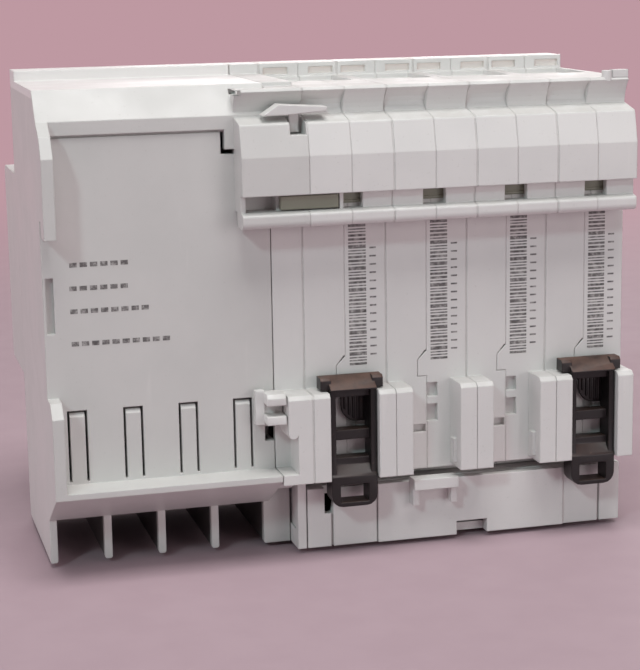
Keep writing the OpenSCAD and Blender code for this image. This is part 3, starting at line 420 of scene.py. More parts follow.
@dataclass(frozen=True)
class MouldedPlastic:
    """Moulded plastic with a fine skin, cloudy flow marks, rounded worn edges, rub marks, dust on up-facing
    faces which also carries painted shade on the pole tops and a painted sheen on the clips' hooks, and
    boxed zones of painted shade and painted highlight.
    """

    name: str
    colour: Colour
    cloud: Colour
    edge: Colour
    dust_shade_and_sheen: Colour = (0.62, 0.6, 0.57)
    roughness: float = 0.42
    rough_spread: Span = (-0.05, 0.07)
    radius: float = 0.00035
    edge_share: float = 0.6
    edge_polish: float = 0.12
    dust_shade_and_sheen_amount: float = 0.05
    dust_shade_and_sheen_matt: float = 0.5
    scuffs: float = 0.35
    scuff_share: float = 0.5
    dust_shade_and_sheen_above: float = -1000.0
    dust_shade_and_sheen_fade: float = 1.5
    dust_shade_and_sheen_below: float = 0.3
    fleck_share: float = 0.12
    grain_strength: float = 0.12
    grain_depth: float = 0.00004
    ior: float = 1.5
    zones: tuple[Zone, ...] = ()

    def material(self, groups: SurfaceGroups) -> bpy.types.Material:
        """Makes the material.

        Args:
            groups: The shared node groups.

        Returns:
            The new material.
        """
        made, sheet = new_material(self.name)
        skin = sheet.group(groups.skin, Grain_Scale=2400.0, Cloud_Scale=55.0)
        edge = sheet.group(groups.edge, Radius=self.radius, Breakup=350.0)
        dust_shade_and_sheen = sheet.group(groups.dust_shade_and_sheen, Amount=self.dust_shade_and_sheen_amount, Patch_Scale=140.0)
        scuff = sheet.group(groups.scuff, Amount=self.scuffs, Scale=320.0)
        colour = sheet.mix(skin.outputs["Cloud"], linear(self.colour), linear(self.cloud))
        # Zones mix in painted colour: painted shade in the cable bays and painted highlight on the top
        # strips.
        for zone in self.zones:
            colour = sheet.mix(zone.mask(sheet), colour, linear(zone.colour))
        worn = sheet.math("MULTIPLY", edge.outputs["Mask"], self.edge_share)
        colour = sheet.mix(worn, colour, linear(self.edge))
        rubbed = sheet.math("MULTIPLY", scuff.outputs["Mask"], self.scuff_share)
        colour = sheet.mix(rubbed, colour, linear(self.edge))
        flecks = sheet.math("MULTIPLY", skin.outputs["Fleck"], self.fleck_share)
        colour = sheet.mix(flecks, colour, linear(self.dust_shade_and_sheen))
        # Dust on up-facing faces; on the pole tops it also paints shade, on the clips' hooks it paints a
        # sheen.
        lying_dust_shade_and_sheen = sheet.math("MULTIPLY", dust_shade_and_sheen.outputs["Mask"], self.dust_shade_and_sheen_level(sheet))
        colour = sheet.mix(lying_dust_shade_and_sheen, colour, linear(self.dust_shade_and_sheen))
        smooth, coarse = (self.roughness + change for change in self.rough_spread)
        rough = sheet.ramp(skin.outputs["Cloud"], 0.0, 1.0, smooth, coarse)
        rough = sheet.math("SUBTRACT", rough, sheet.math("MULTIPLY", worn, self.edge_polish))
        rough = sheet.math("ADD", rough, sheet.math("MULTIPLY", lying_dust_shade_and_sheen, self.dust_shade_and_sheen_matt), clamp=True)
        bump = sheet.add("Bump")
        sheet.feed(bump.inputs["Strength"], self.grain_strength)
        sheet.feed(bump.inputs["Distance"], self.grain_depth)
        sheet.feed(bump.inputs["Height"], skin.outputs["Height"])
        sheet.feed(bump.inputs["Normal"], edge.outputs["Normal"])
        shader = sheet.add("BsdfPrincipled")
        sheet.feed(shader.inputs["Base Color"], colour)
        sheet.feed(shader.inputs["Roughness"], rough)
        sheet.feed(shader.inputs["Normal"], bump.outputs[0])
        sheet.feed(shader.inputs["IOR"], self.ior)
        sheet.feed(sheet.add("OutputMaterial").inputs[0], shader.outputs[0])
        return made

    def dust_shade_and_sheen_level(self, sheet: NodeSheet) -> bpy.types.NodeSocket:
        """Gives how much of the dust, painted shade and painted sheen lies at a height: all of it above the
        material's start height, little below.

        Args:
            sheet: The material's sheet.

        Returns:
            The level's socket.
        """
        start, full = (self.dust_shade_and_sheen_above - self.dust_shade_and_sheen_fade) * MM, self.dust_shade_and_sheen_above * MM
        return sheet.ramp(sheet.axes(sheet.place())[2], start, full, self.dust_shade_and_sheen_below, 1.0)


@dataclass(frozen=True)
class DrawnMetal:
    """Bare or plated metal with drawing lines, tarnish and bright edges."""

    name: str
    colour: Colour
    tarnish: Colour
    bright: Colour
    roughness: float = 0.32
    rough_spread: Span = (-0.08, 0.1)
    brush: Brush = Brush.ROUND
    radius: float = 0.0002
    line_scale: float = 2200.0
    line_strength: float = 0.15
    line_depth: float = 0.00004

    def material(self, groups: SurfaceGroups) -> bpy.types.Material:
        """Makes the material.

        Args:
            groups: The shared node groups.

        Returns:
            The new material.
        """
        made, sheet = new_material(self.name)
        edge = sheet.group(groups.edge, Radius=self.radius, Breakup=500.0)
        skin = sheet.group(groups.skin, Grain_Scale=1800.0, Cloud_Scale=180.0)
        stretch = sheet.add("Mapping")
        sheet.feed(stretch.inputs["Vector"], sheet.place())
        sheet.feed(stretch.inputs["Scale"], self.brush.value)
        lines = sheet.noise(stretch.outputs[0], self.line_scale, 3.0, 0.65)
        colour = sheet.mix(skin.outputs["Cloud"], linear(self.colour), linear(self.tarnish))
        colour = sheet.mix(edge.outputs["Mask"], colour, linear(self.bright))
        bump = sheet.add("Bump")
        sheet.feed(bump.inputs["Strength"], self.line_strength)
        sheet.feed(bump.inputs["Distance"], self.line_depth)
        sheet.feed(bump.inputs["Height"], lines)
        sheet.feed(bump.inputs["Normal"], edge.outputs["Normal"])
        shader = sheet.add("BsdfPrincipled")
        sheet.feed(shader.inputs["Base Color"], colour)
        sheet.feed(shader.inputs["Metallic"], 1.0)
        smooth, coarse = (self.roughness + change for change in self.rough_spread)
        sheet.feed(shader.inputs["Roughness"], sheet.ramp(lines, 0.3, 0.7, smooth, coarse))
        sheet.feed(shader.inputs["Normal"], bump.outputs[0])
        sheet.feed(sheet.add("OutputMaterial").inputs[0], shader.outputs[0])
        return made


@dataclass(frozen=True)
class PrintedInk:
    """Thin ink that has worn off in places and lets the plastic under it show."""

    name: str
    colour: Colour
    ground: Colour
    worn: float = 0.45
    wear_scale: float = 900.0
    fade: float = 0.18
    rough_range: Span = (0.45, 0.62)

    def material(self, groups: SurfaceGroups) -> bpy.types.Material:
        """Makes the material.

        Args:
            groups: The shared node groups.

        Returns:
            The new material.
        """
        made, sheet = new_material(self.name)
        skin = sheet.group(groups.skin, Grain_Scale=2400.0, Cloud_Scale=240.0)
        place = sheet.place()
        rubbed = sheet.ramp(sheet.noise(place, self.wear_scale, 3.0, 0.7), 0.42, 0.66, 0.0, self.worn)
        cloudy = sheet.math("MULTIPLY", skin.outputs["Cloud"], self.fade)
        faded = sheet.math("ADD", rubbed, cloudy, clamp=True)
        shader = sheet.add("BsdfPrincipled")
        sheet.feed(shader.inputs["Base Color"], sheet.mix(faded, linear(self.colour), linear(self.ground)))
        rough = sheet.ramp(skin.outputs["Cloud"], 0.0, 1.0, *self.rough_range)
        sheet.feed(shader.inputs["Roughness"], rough)
        sheet.feed(sheet.add("OutputMaterial").inputs[0], shader.outputs[0])
        return made


class Finishes:
    """Every finish of the part, made once as a material."""

    FAR = 100.0
    # Painted highlight: the poles' top strip and the add-on's top get lighter colours than their plastic,
    # the poles' strip with a cream tint.
    POLE_STRIP_PAINTED_HIGHLIGHT = Zone((-FAR, -FAR, 42.6), (FAR, -36, FAR), (0.96, 0.937, 0.922))
    ADDON_TOP_PAINTED_HIGHLIGHT = Zone((-FAR, -FAR, 41.5), (FAR, -4.3, FAR), (0.89, 0.88, 0.875))
    # Painted shade: a dark colour deep in the add-on's cable bays, where little light reaches.
    BAYS_PAINTED_SHADE = Zone((15.6, -40.5, -FAR), (61.7, -7.6, -45.9), (0.2, 0.19, 0.19), share=0.9, soft=1.2)
    # The poles' dust amount is raised to darken their up-facing tops: dust and painted shade together.
    POLE = MouldedPlastic(
        "pole_plastic", (0.86, 0.855, 0.848), (0.842, 0.838, 0.832), (0.93, 0.92, 0.91),
        dust_shade_and_sheen_amount=0.34, zones=(POLE_STRIP_PAINTED_HIGHLIGHT,),
    )
    ADDON = MouldedPlastic(
        "addon_plastic", (0.81, 0.805, 0.797), (0.79, 0.787, 0.779), (0.91, 0.9, 0.89),
        dust_shade_and_sheen_amount=0.16, zones=(ADDON_TOP_PAINTED_HIGHLIGHT, BAYS_PAINTED_SHADE),
    )
    # The clips' brown dust colour and amount, full above Z -20.5 mm, are a painted sheen: the warm
    # reflection on the hooks' up-facing ramps.
    CLIP = MouldedPlastic(
        "clip_plastic", (0.075, 0.066, 0.066), (0.06, 0.053, 0.053), (0.2, 0.16, 0.15),
        dust_shade_and_sheen=(0.55, 0.42, 0.36), roughness=0.36, edge_share=0.4, dust_shade_and_sheen_amount=0.42, dust_shade_and_sheen_above=-20.5,
    )
    # Insulation on the add-on's conductors, coloured dark brown also as painted shade in the opening by the
    # latch.
    SLEEVE_AND_PAINTED_SHADE = MouldedPlastic(
        "wire_sleeve_painted_shade", (0.13, 0.1, 0.09), (0.1, 0.08, 0.07), (0.24, 0.2, 0.18),
        roughness=0.4, dust_shade_and_sheen_amount=0.1,
    )
    TOGGLE = MouldedPlastic(
        "toggle_plastic", (0.13, 0.13, 0.14), (0.11, 0.11, 0.12), (0.28, 0.28, 0.29),
        dust_shade_and_sheen=(0.4, 0.4, 0.4), roughness=0.34, edge_share=0.4, dust_shade_and_sheen_amount=0.1,
    )
    KHAKI = MouldedPlastic(
        "slide_plastic", (0.54, 0.54, 0.48), (0.5, 0.505, 0.45), (0.64, 0.63, 0.55), roughness=0.38,
    )
    CONTROL = MouldedPlastic(
        "control_plastic", (0.93, 0.9, 0.83), (0.91, 0.88, 0.81), (0.97, 0.95, 0.9), roughness=0.3,
    )
    CARD = MouldedPlastic(
        "label_card", (0.93, 0.93, 0.92), (0.91, 0.91, 0.9), (0.97, 0.97, 0.96),
        roughness=0.5, radius=0.00015,
    )
    COPPER = DrawnMetal(
        "bare_copper", (0.83, 0.52, 0.36), (0.62, 0.36, 0.25), (0.93, 0.66, 0.5), brush=Brush.ALONG_X,
    )
    STEEL = DrawnMetal("zinc_plate", (0.74, 0.75, 0.77), (0.6, 0.6, 0.58), (0.88, 0.89, 0.9))
    CORE = DrawnMetal(
        "wound_core", (0.34, 0.34, 0.36), (0.26, 0.25, 0.25), (0.5, 0.5, 0.52), roughness=0.5,
    )
    INK = PrintedInk("grey_ink", (0.3, 0.29, 0.29), (0.82, 0.81, 0.8))
    MARK = PrintedInk("white_mark", (0.92, 0.92, 0.9), (0.3, 0.3, 0.31), worn=0.2)

    def __init__(self, groups: SurfaceGroups) -> None:
        """Makes every material.

        Args:
            groups: The shared node groups.
        """
        listed = (
            self.POLE, self.ADDON, self.CLIP, self.SLEEVE_AND_PAINTED_SHADE, self.TOGGLE, self.KHAKI, self.CONTROL, self.CARD,
            self.COPPER, self.STEEL, self.CORE, self.INK, self.MARK,
        )
        self.made = {finish.name: finish.material(groups) for finish in listed}

    def dress(self, obj: bpy.types.Object, finish: MouldedPlastic | DrawnMetal | PrintedInk) -> None:
        """Gives a piece one finish, and reports it."""
        obj.data.materials.clear()
        obj.data.materials.append(self.made[finish.name])
        LOG.info("%s: %s", obj.name, finish.name)


class MeshMaker:
    """Collects outlines and blocks, in millimetres, into one mesh."""

    SMOOTH_ANGLE = math.radians(40)

    def __init__(self, name: str) -> None:
        """Starts an empty mesh.

        Args:
            name: The piece's name.
        """
        self.name = name
        self.mesh = bmesh.new()

    def block(self, low: Point, high: Point, soft: float = 0.0) -> None:
        """Adds a block between two corners, with its edges rounded.

        Args:
            low: Lowest corner.
            high: Highest corner.
            soft: Radius of the edges.
        """
        middle = [(a + b) / 2 * MM for a, b in zip(low, high)]
        size = [(b - a) * MM for a, b in zip(low, high)]
        place = Matrix.Translation(middle) @ Matrix.Diagonal((*size, 1.0))
        made = bmesh.ops.create_cube(self.mesh, size=1.0, matrix=place)
        if soft > 0:
            self.round_edges((e for v in made["verts"] for e in v.link_edges), soft)

    def prism(self, outline: Outline, axis: Axis, low: float, high: float, soft: float = 0.0) -> None:
        """Adds an outline extruded along an axis, with its edges rounded.

        Args:
            outline: Points in the plane of the other two axes, in their usual order.
            axis: Direction of the extrusion.
            low: Start along the axis.
            high: End along the axis.
            soft: Radius of the edges.
        """
        rows = [[self.mesh.verts.new(self.spot(p, axis, level)) for p in outline] for level in (low, high)]
        faces = [self.mesh.faces.new(rows[0]), self.mesh.faces.new(list(reversed(rows[1])))]
        count = len(outline)
        for n in range(count):
            m = (n + 1) % count
            faces.append(self.mesh.faces.new((rows[0][m], rows[0][n], rows[1][n], rows[1][m])))
        bmesh.ops.recalc_face_normals(self.mesh, faces=faces)
        if soft > 0:
            edges = (e for f in faces for e in f.edges)
            self.round_edges((e for e in edges if e.calc_face_angle(0.0) > CORNER_ANGLE), soft)

    def round_edges(self, edges: Iterable[bmesh.types.BMEdge], soft: float) -> None:
        """Rounds edges, each listed once or more, to a radius in millimetres."""
        once = list(dict.fromkeys(edges))
        bmesh.ops.bevel(
            self.mesh, geom=once, offset=soft * MM, segments=ROUND_STEPS, profile=0.5, affect="EDGES",
        )

    @staticmethod
    def spot(point: Spot, axis: Axis, level: float) -> Point:
        """Places an outline's point at a level along an axis, in metres."""
        values = list(point)
        values.insert(axis.value, level)
        return tuple(v * MM for v in values)

    def piece(self, smooth: bool = True) -> bpy.types.Object:
        """Turns what was collected into an object.

        Args:
            smooth: Whether its rounded edges are shaded smooth.

        Returns:
            The new object, in the part's frame.
        """
        obj = new_piece(self.name, self.mesh)
        if smooth:
            obj.data.shade_smooth()
            obj.data.set_sharp_from_angle(angle=self.SMOOTH_ANGLE)
        return obj


def round_corner(x: float, z: float, radius: float, start: float, steps: int = 6) -> list[Spot]:
    """Lists the points of a quarter round corner.

    Args:
        x: Centre across.
        z: Centre up.
        radius: Radius of the corner.
        start: Angle of the first point, in degrees.
        steps: Number of steps.

    Returns:
        The points, turning anticlockwise.
    """
    turns = [math.radians(start + 90 * n / steps) for n in range(steps + 1)]
    return [(x + radius * math.cos(t), z + radius * math.sin(t)) for t in turns]


def rounded_rectangle(low: Spot, high: Spot, radius: float) -> list[Spot]:
    """Lists the points of a rectangle with round corners.

    Args:
        low: Lower left corner.
        high: Upper right corner.
        radius: Radius of the corners.

    Returns:
        The points, turning anticlockwise.
    """
    inner_low = (low[0] + radius, low[1] + radius)
    inner_high = (high[0] - radius, high[1] - radius)
    return [
        *round_corner(inner_high[0], inner_high[1], radius, 0),
        *round_corner(inner_low[0], inner_high[1], radius, 90),
        *round_corner(inner_low[0], inner_low[1], radius, 180),
        *round_corner(inner_high[0], inner_low[1], radius, 270),
    ]


def soft_copy(node: str, body: str, width: float) -> bpy.types.Object:
    """Makes a piece with rounded edges that stands for a CAD node of the same shape.

    Args:
        node: The CAD node.
        body: The body that it rides on.
        width: Radius of the rounded edges, in millimetres.

    Returns:
        The new piece.
    """
    work = bmesh.new()
    work.from_mesh(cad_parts[node].data)
    bmesh.ops.remove_doubles(work, verts=work.verts, dist=WELD)
    bmesh.ops.dissolve_limit(work, angle_limit=FLAT_ANGLE, verts=work.verts, edges=work.edges)
    obj = new_piece(node + "_soft", work)
    bevel = obj.modifiers.new("round_edges", "BEVEL")
    bevel.width = width * MM
    bevel.segments = ROUND_STEPS
    bevel.limit_method = "ANGLE"
    bevel.angle_limit = EDGE_ANGLE
    bevel.use_clamp_overlap = True
    obj.data.shade_smooth()
    obj.data.set_sharp_from_angle(angle=SMOOTH_ANGLE)
    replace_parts(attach(obj, body), node)
    return obj


def joint_tongue(name: str, node: str, level: float, gap: float, sunk: float) -> bpy.types.Object:
    """Makes the thin tongue that closes the gap beside a moulding, a little under the surface.

    Args:
        name: The piece's name.
        node: The CAD node whose flat side bounds the gap.
        level: Where that side lies along X, in millimetres.
        gap: Width of the gap, in millimetres.
        sunk: How far the tongue lies under the surface, in millimetres.

    Returns:
        The new piece.
    """
    work = bmesh.new()
    work.from_mesh(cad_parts[node].data)
    bmesh.ops.remove_doubles(work, verts=work.verts, dist=WELD)
    work.normal_update()
    on_side = {f for f in work.faces if abs(f.calc_center_median().x - level * MM) <= 2 * WELD}
    away = [f for f in work.faces if f.normal.x < ALONG_NORMAL or f not in on_side]
    bmesh.ops.delete(work, geom=away, context="FACES")
    ring = bmesh.ops.inset_region(
        work, faces=work.faces[:], thickness=sunk * MM, use_boundary=True, use_even_offset=True,
    )
    bmesh.ops.delete(work, geom=ring["faces"], context="FACES")
    obj = new_piece(name, work)
    thick = obj.modifiers.new("thickness", "SOLIDIFY")
    thick.thickness = gap * MM
    thick.offset = 1.0
    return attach(obj, "casing")


@dataclass
class PoleRow:
    """The four poles: shells, joints, window plates, rivets, terminals, inner pieces, print and cards."""

    finishes: Finishes
    pitch: float = 18.0
    first: float = -54.0
    count: int = 4
    parting: float = 0.1
    parting_sunk: float = 0.03
    seam: float = 0.3
    seam_sunk: float = 0.1
    slide_half: float = 3.4
    slide_y: float = 3.1
    slide_z: Span = (18.75, 22.6)
    slide_t: float = 0.8
    slide_edge: float = 0.15
    slide_lip_y: Span = (-0.1, 0.2)
    slide_lip_h: float = 0.6
    slide_lip_edge: float = 0.08
    ladder_x: Span = (-4.7, -0.9)
    ladder_z: Span = (-16.3, 14.2)
    ladder_rhythm: tuple[float, ...] = (0.5, 0.28, 0.28, 0.75, 0.28, 0.5)
    ladder_gap: float = 0.33
    tick_x: Span = (-6.9, -5.5)
    tick_count: int = 14
    tick_foot: float = 2.0
    tick_step: float = 1.75
    tick_h: float = 0.35
    ink_t: float = 0.03
    ink_sunk: float = 0.01
    nose_y: float = -66.0
    card_y: Span = (0.12, 0.4)
    card_half: float = 6.7
    card_z: Span = (12.7, 19.9)
    card_round: float = 0.5
    card_edge: float = 0.05

    def centre(self, pole: int) -> float:
        """Gives the middle of a pole along X, in millimetres."""
        return self.first + (pole - 1) * self.pitch

    def build(self) -> None:
        """Dresses the poles' nodes and adds the print, the cards, the joints and the window plates."""
        for pole in range(1, self.count + 1):
            for side in ("left", "right"):
                self.finishes.dress(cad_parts[f"pole_{pole}_{side}_shell"], Finishes.POLE)
            self.ladder(pole)
            self.cards(pole)
            self.joints(pole)
            self.window_plate(pole)
        for name in ("shell_rivets", "arc_chutes", "bimetal_strips", "lower_cages", "lower_screws"):
            self.finishes.dress(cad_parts[name], Finishes.STEEL)
        for name in ("fixed_contacts", "trip_coils"):
            self.finishes.dress(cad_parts[name], Finishes.COPPER)
        for pole in range(1, self.count + 1):
            self.finishes.dress(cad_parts[f"upper_cage_{pole}"], Finishes.STEEL)
            self.finishes.dress(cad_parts[f"upper_screw_{pole}"], Finishes.STEEL)
            self.finishes.dress(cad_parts[f"contact_arm_{pole}"], Finishes.COPPER)

    def joints(self, pole: int) -> None:
        """Closes the parting line of a pole, and the seam on its right, just under their surfaces.

        Args:
            pole: The pole's number.
        """
        x = self.centre(pole)
        for name, side, level, gap, sunk in (
            ("parting", "left", -self.parting / 2, self.parting, self.parting_sunk),
            ("seam", "right", (self.pitch - self.seam) / 2, self.seam, self.seam_sunk),
        ):
            shell = f"pole_{pole}_{side}_shell"
            piece = joint_tongue(f"{name}_tongue_{pole}", shell, x + level, gap, sunk)
            self.finishes.dress(piece, Finishes.POLE)

    def window_plate(self, pole: int) -> None:
        """Stands the grey inner slide behind the window of a pole's ridge.

        Args:
            pole: The pole's number.
        """
        maker = MeshMaker(f"ridge_slide_{pole}")
        x, y = self.centre(pole), self.slide_y
        left, right = x - self.slide_half, x + self.slide_half
        foot, top = self.slide_z
        maker.block((left, y - self.slide_t, foot), (right, y, top), self.slide_edge)
        back, front = (y + step for step in self.slide_lip_y)
        maker.block((left, back, foot), (right, front, foot + self.slide_lip_h), self.slide_lip_edge)
        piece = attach(maker.piece(), "casing")
        self.finishes.dress(piece, Finishes.KHAKI)

    def ladder(self, pole: int) -> None:
        """Prints a plain ladder of ink bars, the same rhythm over and over, and a row of ticks beside it.

        Args:
            pole: The pole's number.
        """
        maker = MeshMaker(f"print_ladder_{pole}")
        x = self.centre(pole)
        level, n = self.ladder_z[0], 0
        left, right = x + self.ladder_x[0], x + self.ladder_x[1]
        while level < self.ladder_z[1]:
            thick = self.ladder_rhythm[n % len(self.ladder_rhythm)]
            maker.block((left, -self.ink_sunk, level), (right, self.ink_t, level + thick))
            level += thick + self.ladder_gap
            n += 1
        left, right = x + self.tick_x[0], x + self.tick_x[1]
        for k in range(self.tick_count):
            foot = self.ladder_z[0] + self.tick_foot + k * self.tick_step
            maker.block((left, -self.ink_sunk, foot), (right, self.ink_t, foot + self.tick_h))
        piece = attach(maker.piece(smooth=False), "casing")
        self.finishes.dress(piece, Finishes.INK)

    def cards(self, pole: int) -> None:
        """Lays blank label cards in the recesses of a pole's nose.

        Args:
            pole: The pole's number.
        """
        maker = MeshMaker(f"label_cards_{pole}")
        x = self.centre(pole)
        for sign in (1, -1):
            low, high = sorted((sign * self.card_z[0], sign * self.card_z[1]))
            left, right = x - self.card_half, x + self.card_half
            outline = rounded_rectangle((left, low), (right, high), self.card_round)
            back, front = (self.nose_y + y for y in self.card_y)
            maker.prism(outline, Axis.Y, back, front, self.card_edge)
        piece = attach(maker.piece(), "casing")
        self.finishes.dress(piece, Finishes.CARD)


@dataclass
class Switches:
    """The toggles on their tie bar, the reset lever and the test button."""

    finishes: Finishes
    pitch: float = 18.0
    first: float = -54.0
    count: int = 4
    pivot_y: float = -57.0
    rest_angle: float = 38.0
    lever_edge: float = 0.4
    button_edge: float = 0.35
    mark_half: float = 0.28
    mark_z: float = 2.2
    mark_sunk: float = 0.05
    mark_proud: float = 0.06
    stroke_y: Span = (-17.4, -14.2)
    ring_y: float = -15.8
    ring_r: Span = (1.5, 0.95)
    ring_steps: int = 40

    def build(self) -> None:
        """Makes the soft-edged levers and the button, and inlays the marks."""
        for pole in range(1, self.count + 1):
            piece = soft_copy(f"toggle_{pole}", "toggles", self.lever_edge)
            self.finishes.dress(piece, Finishes.TOGGLE)
            self.marks(pole)
        self.finishes.dress(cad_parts["toggle_tie_bar"], Finishes.TOGGLE)
        lever = soft_copy("reset_lever", "reset", self.lever_edge)
        self.finishes.dress(lever, Finishes.CONTROL)
        button = soft_copy("test_button", "test", self.button_edge)
        self.finishes.dress(button, Finishes.CONTROL)

    def marks(self, pole: int) -> None:
        """Inlays the on stroke and the off ring in a toggle's two faces.

        Args:
            pole: The pole's number.
        """
        maker = MeshMaker(f"toggle_mark_{pole}")
        x, top = self.first + (pole - 1) * self.pitch, self.mark_z
        sunk, proud = self.mark_sunk, self.mark_proud
        low, high = self.stroke_y
        maker.block((x - self.mark_half, low, top - sunk), (x + self.mark_half, high, top + proud))
        outer, inner = (self.circle(x, radius) for radius in self.ring_r)
        self.ring(maker, outer, inner, -top - proud, -top + sunk)
        pivot = Matrix.Translation((0, self.pivot_y * MM, 0))
        turn = pivot @ Matrix.Rotation(math.radians(self.rest_angle), 4, "X")
        bmesh.ops.transform(maker.mesh, matrix=turn, verts=maker.mesh.verts)
        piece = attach(maker.piece(smooth=False), "toggles")
        self.finishes.dress(piece, Finishes.MARK)

    def circle(self, x: float, radius: float) -> list[Spot]:
        """Lists the points of a circle of the off ring, in X and Y."""
        turns = [2 * math.pi * n / self.ring_steps for n in range(self.ring_steps)]
        return [(x + radius * math.cos(t), -radius * math.sin(t) + self.ring_y) for t in turns]

    @staticmethod
    def ring(maker: MeshMaker, outer: Outline, inner: Outline, low: float, high: float) -> None:
        """Adds a flat ring between two outlines.

        Args:
            maker: The mesh to add to.
            outer: Outer outline, in X and Y.
            inner: Inner outline, with as many points.
            low: Lower level along Z.
            high: Upper level along Z.
        """
        rows = []
        for outline in (outer, inner):
            for level in (low, high):
                rows.append([maker.mesh.verts.new(MeshMaker.spot(p, Axis.Z, level)) for p in outline])
        count = len(outer)
        faces = []
        for n in range(count):
            m = (n + 1) % count
            for a, b in ((0, 1), (1, 3), (3, 2), (2, 0)):
                faces.append(maker.mesh.faces.new((rows[a][n], rows[a][m], rows[b][m], rows[b][n])))
        bmesh.ops.recalc_face_normals(maker.mesh, faces=faces)


@dataclass
class RailClips:
    """The two black sliding clips with ramped hooks, open frames, ribbed tongues and pull loops."""

    finishes: Finishes
    edge: float = 0.28
    tongue_x: Span = (-3.9, 1.6)
    tongue_z: Span = (-28.1, -22.0)
    tongue_y: Span = (0.85, 1.5)
    tongue_r: float = 3.6
    tongue_edge: float = 0.12
    rib_w: float = 0.4
    rib_h: float = 0.35
    rib_foot: float = 0.5
    rib_head: float = 0.3
    rib_edge: float = 0.1
    ribs: int = 5
    places: tuple[tuple[str, float], ...] = (("left", -54.0), ("right", 0.0))

    def build(self) -> None:
        """Makes both clips with soft edges in place of their CAD nodes, and their tongues."""
        for side, x in self.places:
            body = f"{side}_rail_clip"
            self.finishes.dress(soft_copy(f"rail_clip_{side}", body, self.edge), Finishes.CLIP)
            self.finishes.dress(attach(self.tongue(side, x), body), Finishes.CLIP)

    def tongue(self, side: str, x: float) -> bpy.types.Object:
        """Builds the ribbed, round-ended tongue behind a clip's upper window.

        Args:
            side: The clip's side, as in the node's name.
            x: The clip's middle along X.

        Returns:
            The tongue.
        """
        maker = MeshMaker(f"clip_tongue_{side}")
        low, high = x + self.tongue_x[0], x + self.tongue_x[1]
        foot, top = self.tongue_z
        bend = round_corner(high - self.tongue_r, foot + self.tongue_r, self.tongue_r, -90)
        outline = [(low, foot), *bend, (high, top), (low, top)]
        maker.prism(outline, Axis.Y, *self.tongue_y, self.tongue_edge)
        step = (high - low - 2 * self.rib_w) / self.ribs
        for n in range(self.ribs):
            left = low + self.rib_w + (n + 0.5) * step - self.rib_w / 2
            past = max(0.0, (left + self.rib_w - high + self.tongue_r) / self.tongue_r)
            rise = self.tongue_r * past ** 2
            maker.block(
                (left, self.tongue_y[1] - self.rib_edge, foot + self.rib_foot + rise),
                (left + self.rib_w, self.tongue_y[1] + self.rib_h, top - self.rib_head), self.rib_edge,
            )
        return maker.piece()


@dataclass
class AddOn:
    """The add-on block: housing, cover, arm, latch, clip, slide, terminals, printed field and cards."""

    finishes: Finishes
    soft_edges: tuple[tuple[str, str, float], ...] = (
        ("arm_lock_bracket", "casing", 0.3),
        ("top_clip", "casing", 0.2),
        ("addon_rail_latch", "rail_latch", 0.25),
    )
    slide_edge: float = 0.2
    bays: int = 4
    rows: tuple[tuple[float, float, int], ...] = (
        (8.5, 57.4, 6), (3.7, 57.6, 6), (-1.0, 57.6, 8), (-7.7, 57.6, 10),
    )
    dash_w: float = 1.5
    dash_step: float = 2.08
    dash_h: float = 0.95
    ink_t: float = 0.03
    ink_sunk: float = 0.01
    card_x: Span = (12.6, 59.4)
    card_y: Span = (-65.88, -65.6)
    card_z: tuple[Span, ...] = ((12.7, 19.9), (-19.9, -12.7))
    card_round: float = 0.6
    card_edge: float = 0.05

    def build(self) -> None:
        """Dresses the add-on's nodes, rounds its small pieces, prints its field and lays its cards."""
        for name in ("addon_housing", "addon_front_cover"):
            self.finishes.dress(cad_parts[name], Finishes.ADDON)
        for name in ("addon_coupling_plate", "arm_tray", "arm_cover"):
            self.finishes.dress(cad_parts[name], Finishes.POLE)
        for name, body, width in self.soft_edges:
            self.finishes.dress(soft_copy(name, body, width), Finishes.POLE)
        slide = soft_copy("coupling_slide", "coupling", self.slide_edge)
        self.finishes.dress(slide, Finishes.KHAKI)
        self.finishes.dress(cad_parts["trip_relay"], Finishes.KHAKI)
        self.finishes.dress(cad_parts["ring_core"], Finishes.CORE)
        self.finishes.dress(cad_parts["ring_winding"], Finishes.COPPER)
        self.finishes.dress(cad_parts["addon_conductors"], Finishes.SLEEVE_AND_PAINTED_SHADE)
        for bay in range(1, self.bays + 1):
            self.finishes.dress(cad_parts[f"outgoing_cage_{bay}"], Finishes.STEEL)
            self.finishes.dress(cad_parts[f"outgoing_screw_{bay}"], Finishes.STEEL)
        self.print_field()
        self.cards()

    def print_field(self) -> None:
        """Prints rows of plain dashes on the back panel."""
        maker = MeshMaker("panel_dashes")
        for z, start, count in self.rows:
            foot, head = z - self.dash_h / 2, z + self.dash_h / 2
            for n in range(count):
                x = start - n * self.dash_step
                maker.block((x - self.dash_w, -self.ink_sunk, foot), (x, self.ink_t, head))
        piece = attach(maker.piece(smooth=False), "casing")
        self.finishes.dress(piece, Finishes.INK)

    def cards(self) -> None:
        """Lays blank label cards in the recesses of the add-on's nose."""
        maker = MeshMaker("addon_label_cards")
        left, right = self.card_x
        for low, high in self.card_z:
            outline = rounded_rectangle((left, low), (right, high), self.card_round)
            maker.prism(outline, Axis.Y, *self.card_y, self.card_edge)
        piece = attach(maker.piece(), "casing")
        self.finishes.dress(piece, Finishes.CARD)


@dataclass(frozen=True)
class Lamp:
    """One square area lamp, with its sizes in metres and its power in watts."""

    name: str
    place: Point
    target: Point
    size: float
    power: float
    tint: Colour

    def hang(self) -> None:
        """Adds the lamp and turns it to its target."""
        data = bpy.data.lights.new(self.name, "AREA")
        data.color = self.tint
        data.size = self.size
        data.energy = self.power
        obj = new_object(self.name, data)
        obj.location = self.place
        aim = Vector(self.target) - Vector(self.place)
        obj.rotation_euler = aim.to_track_quat("-Z", "Y").to_euler()


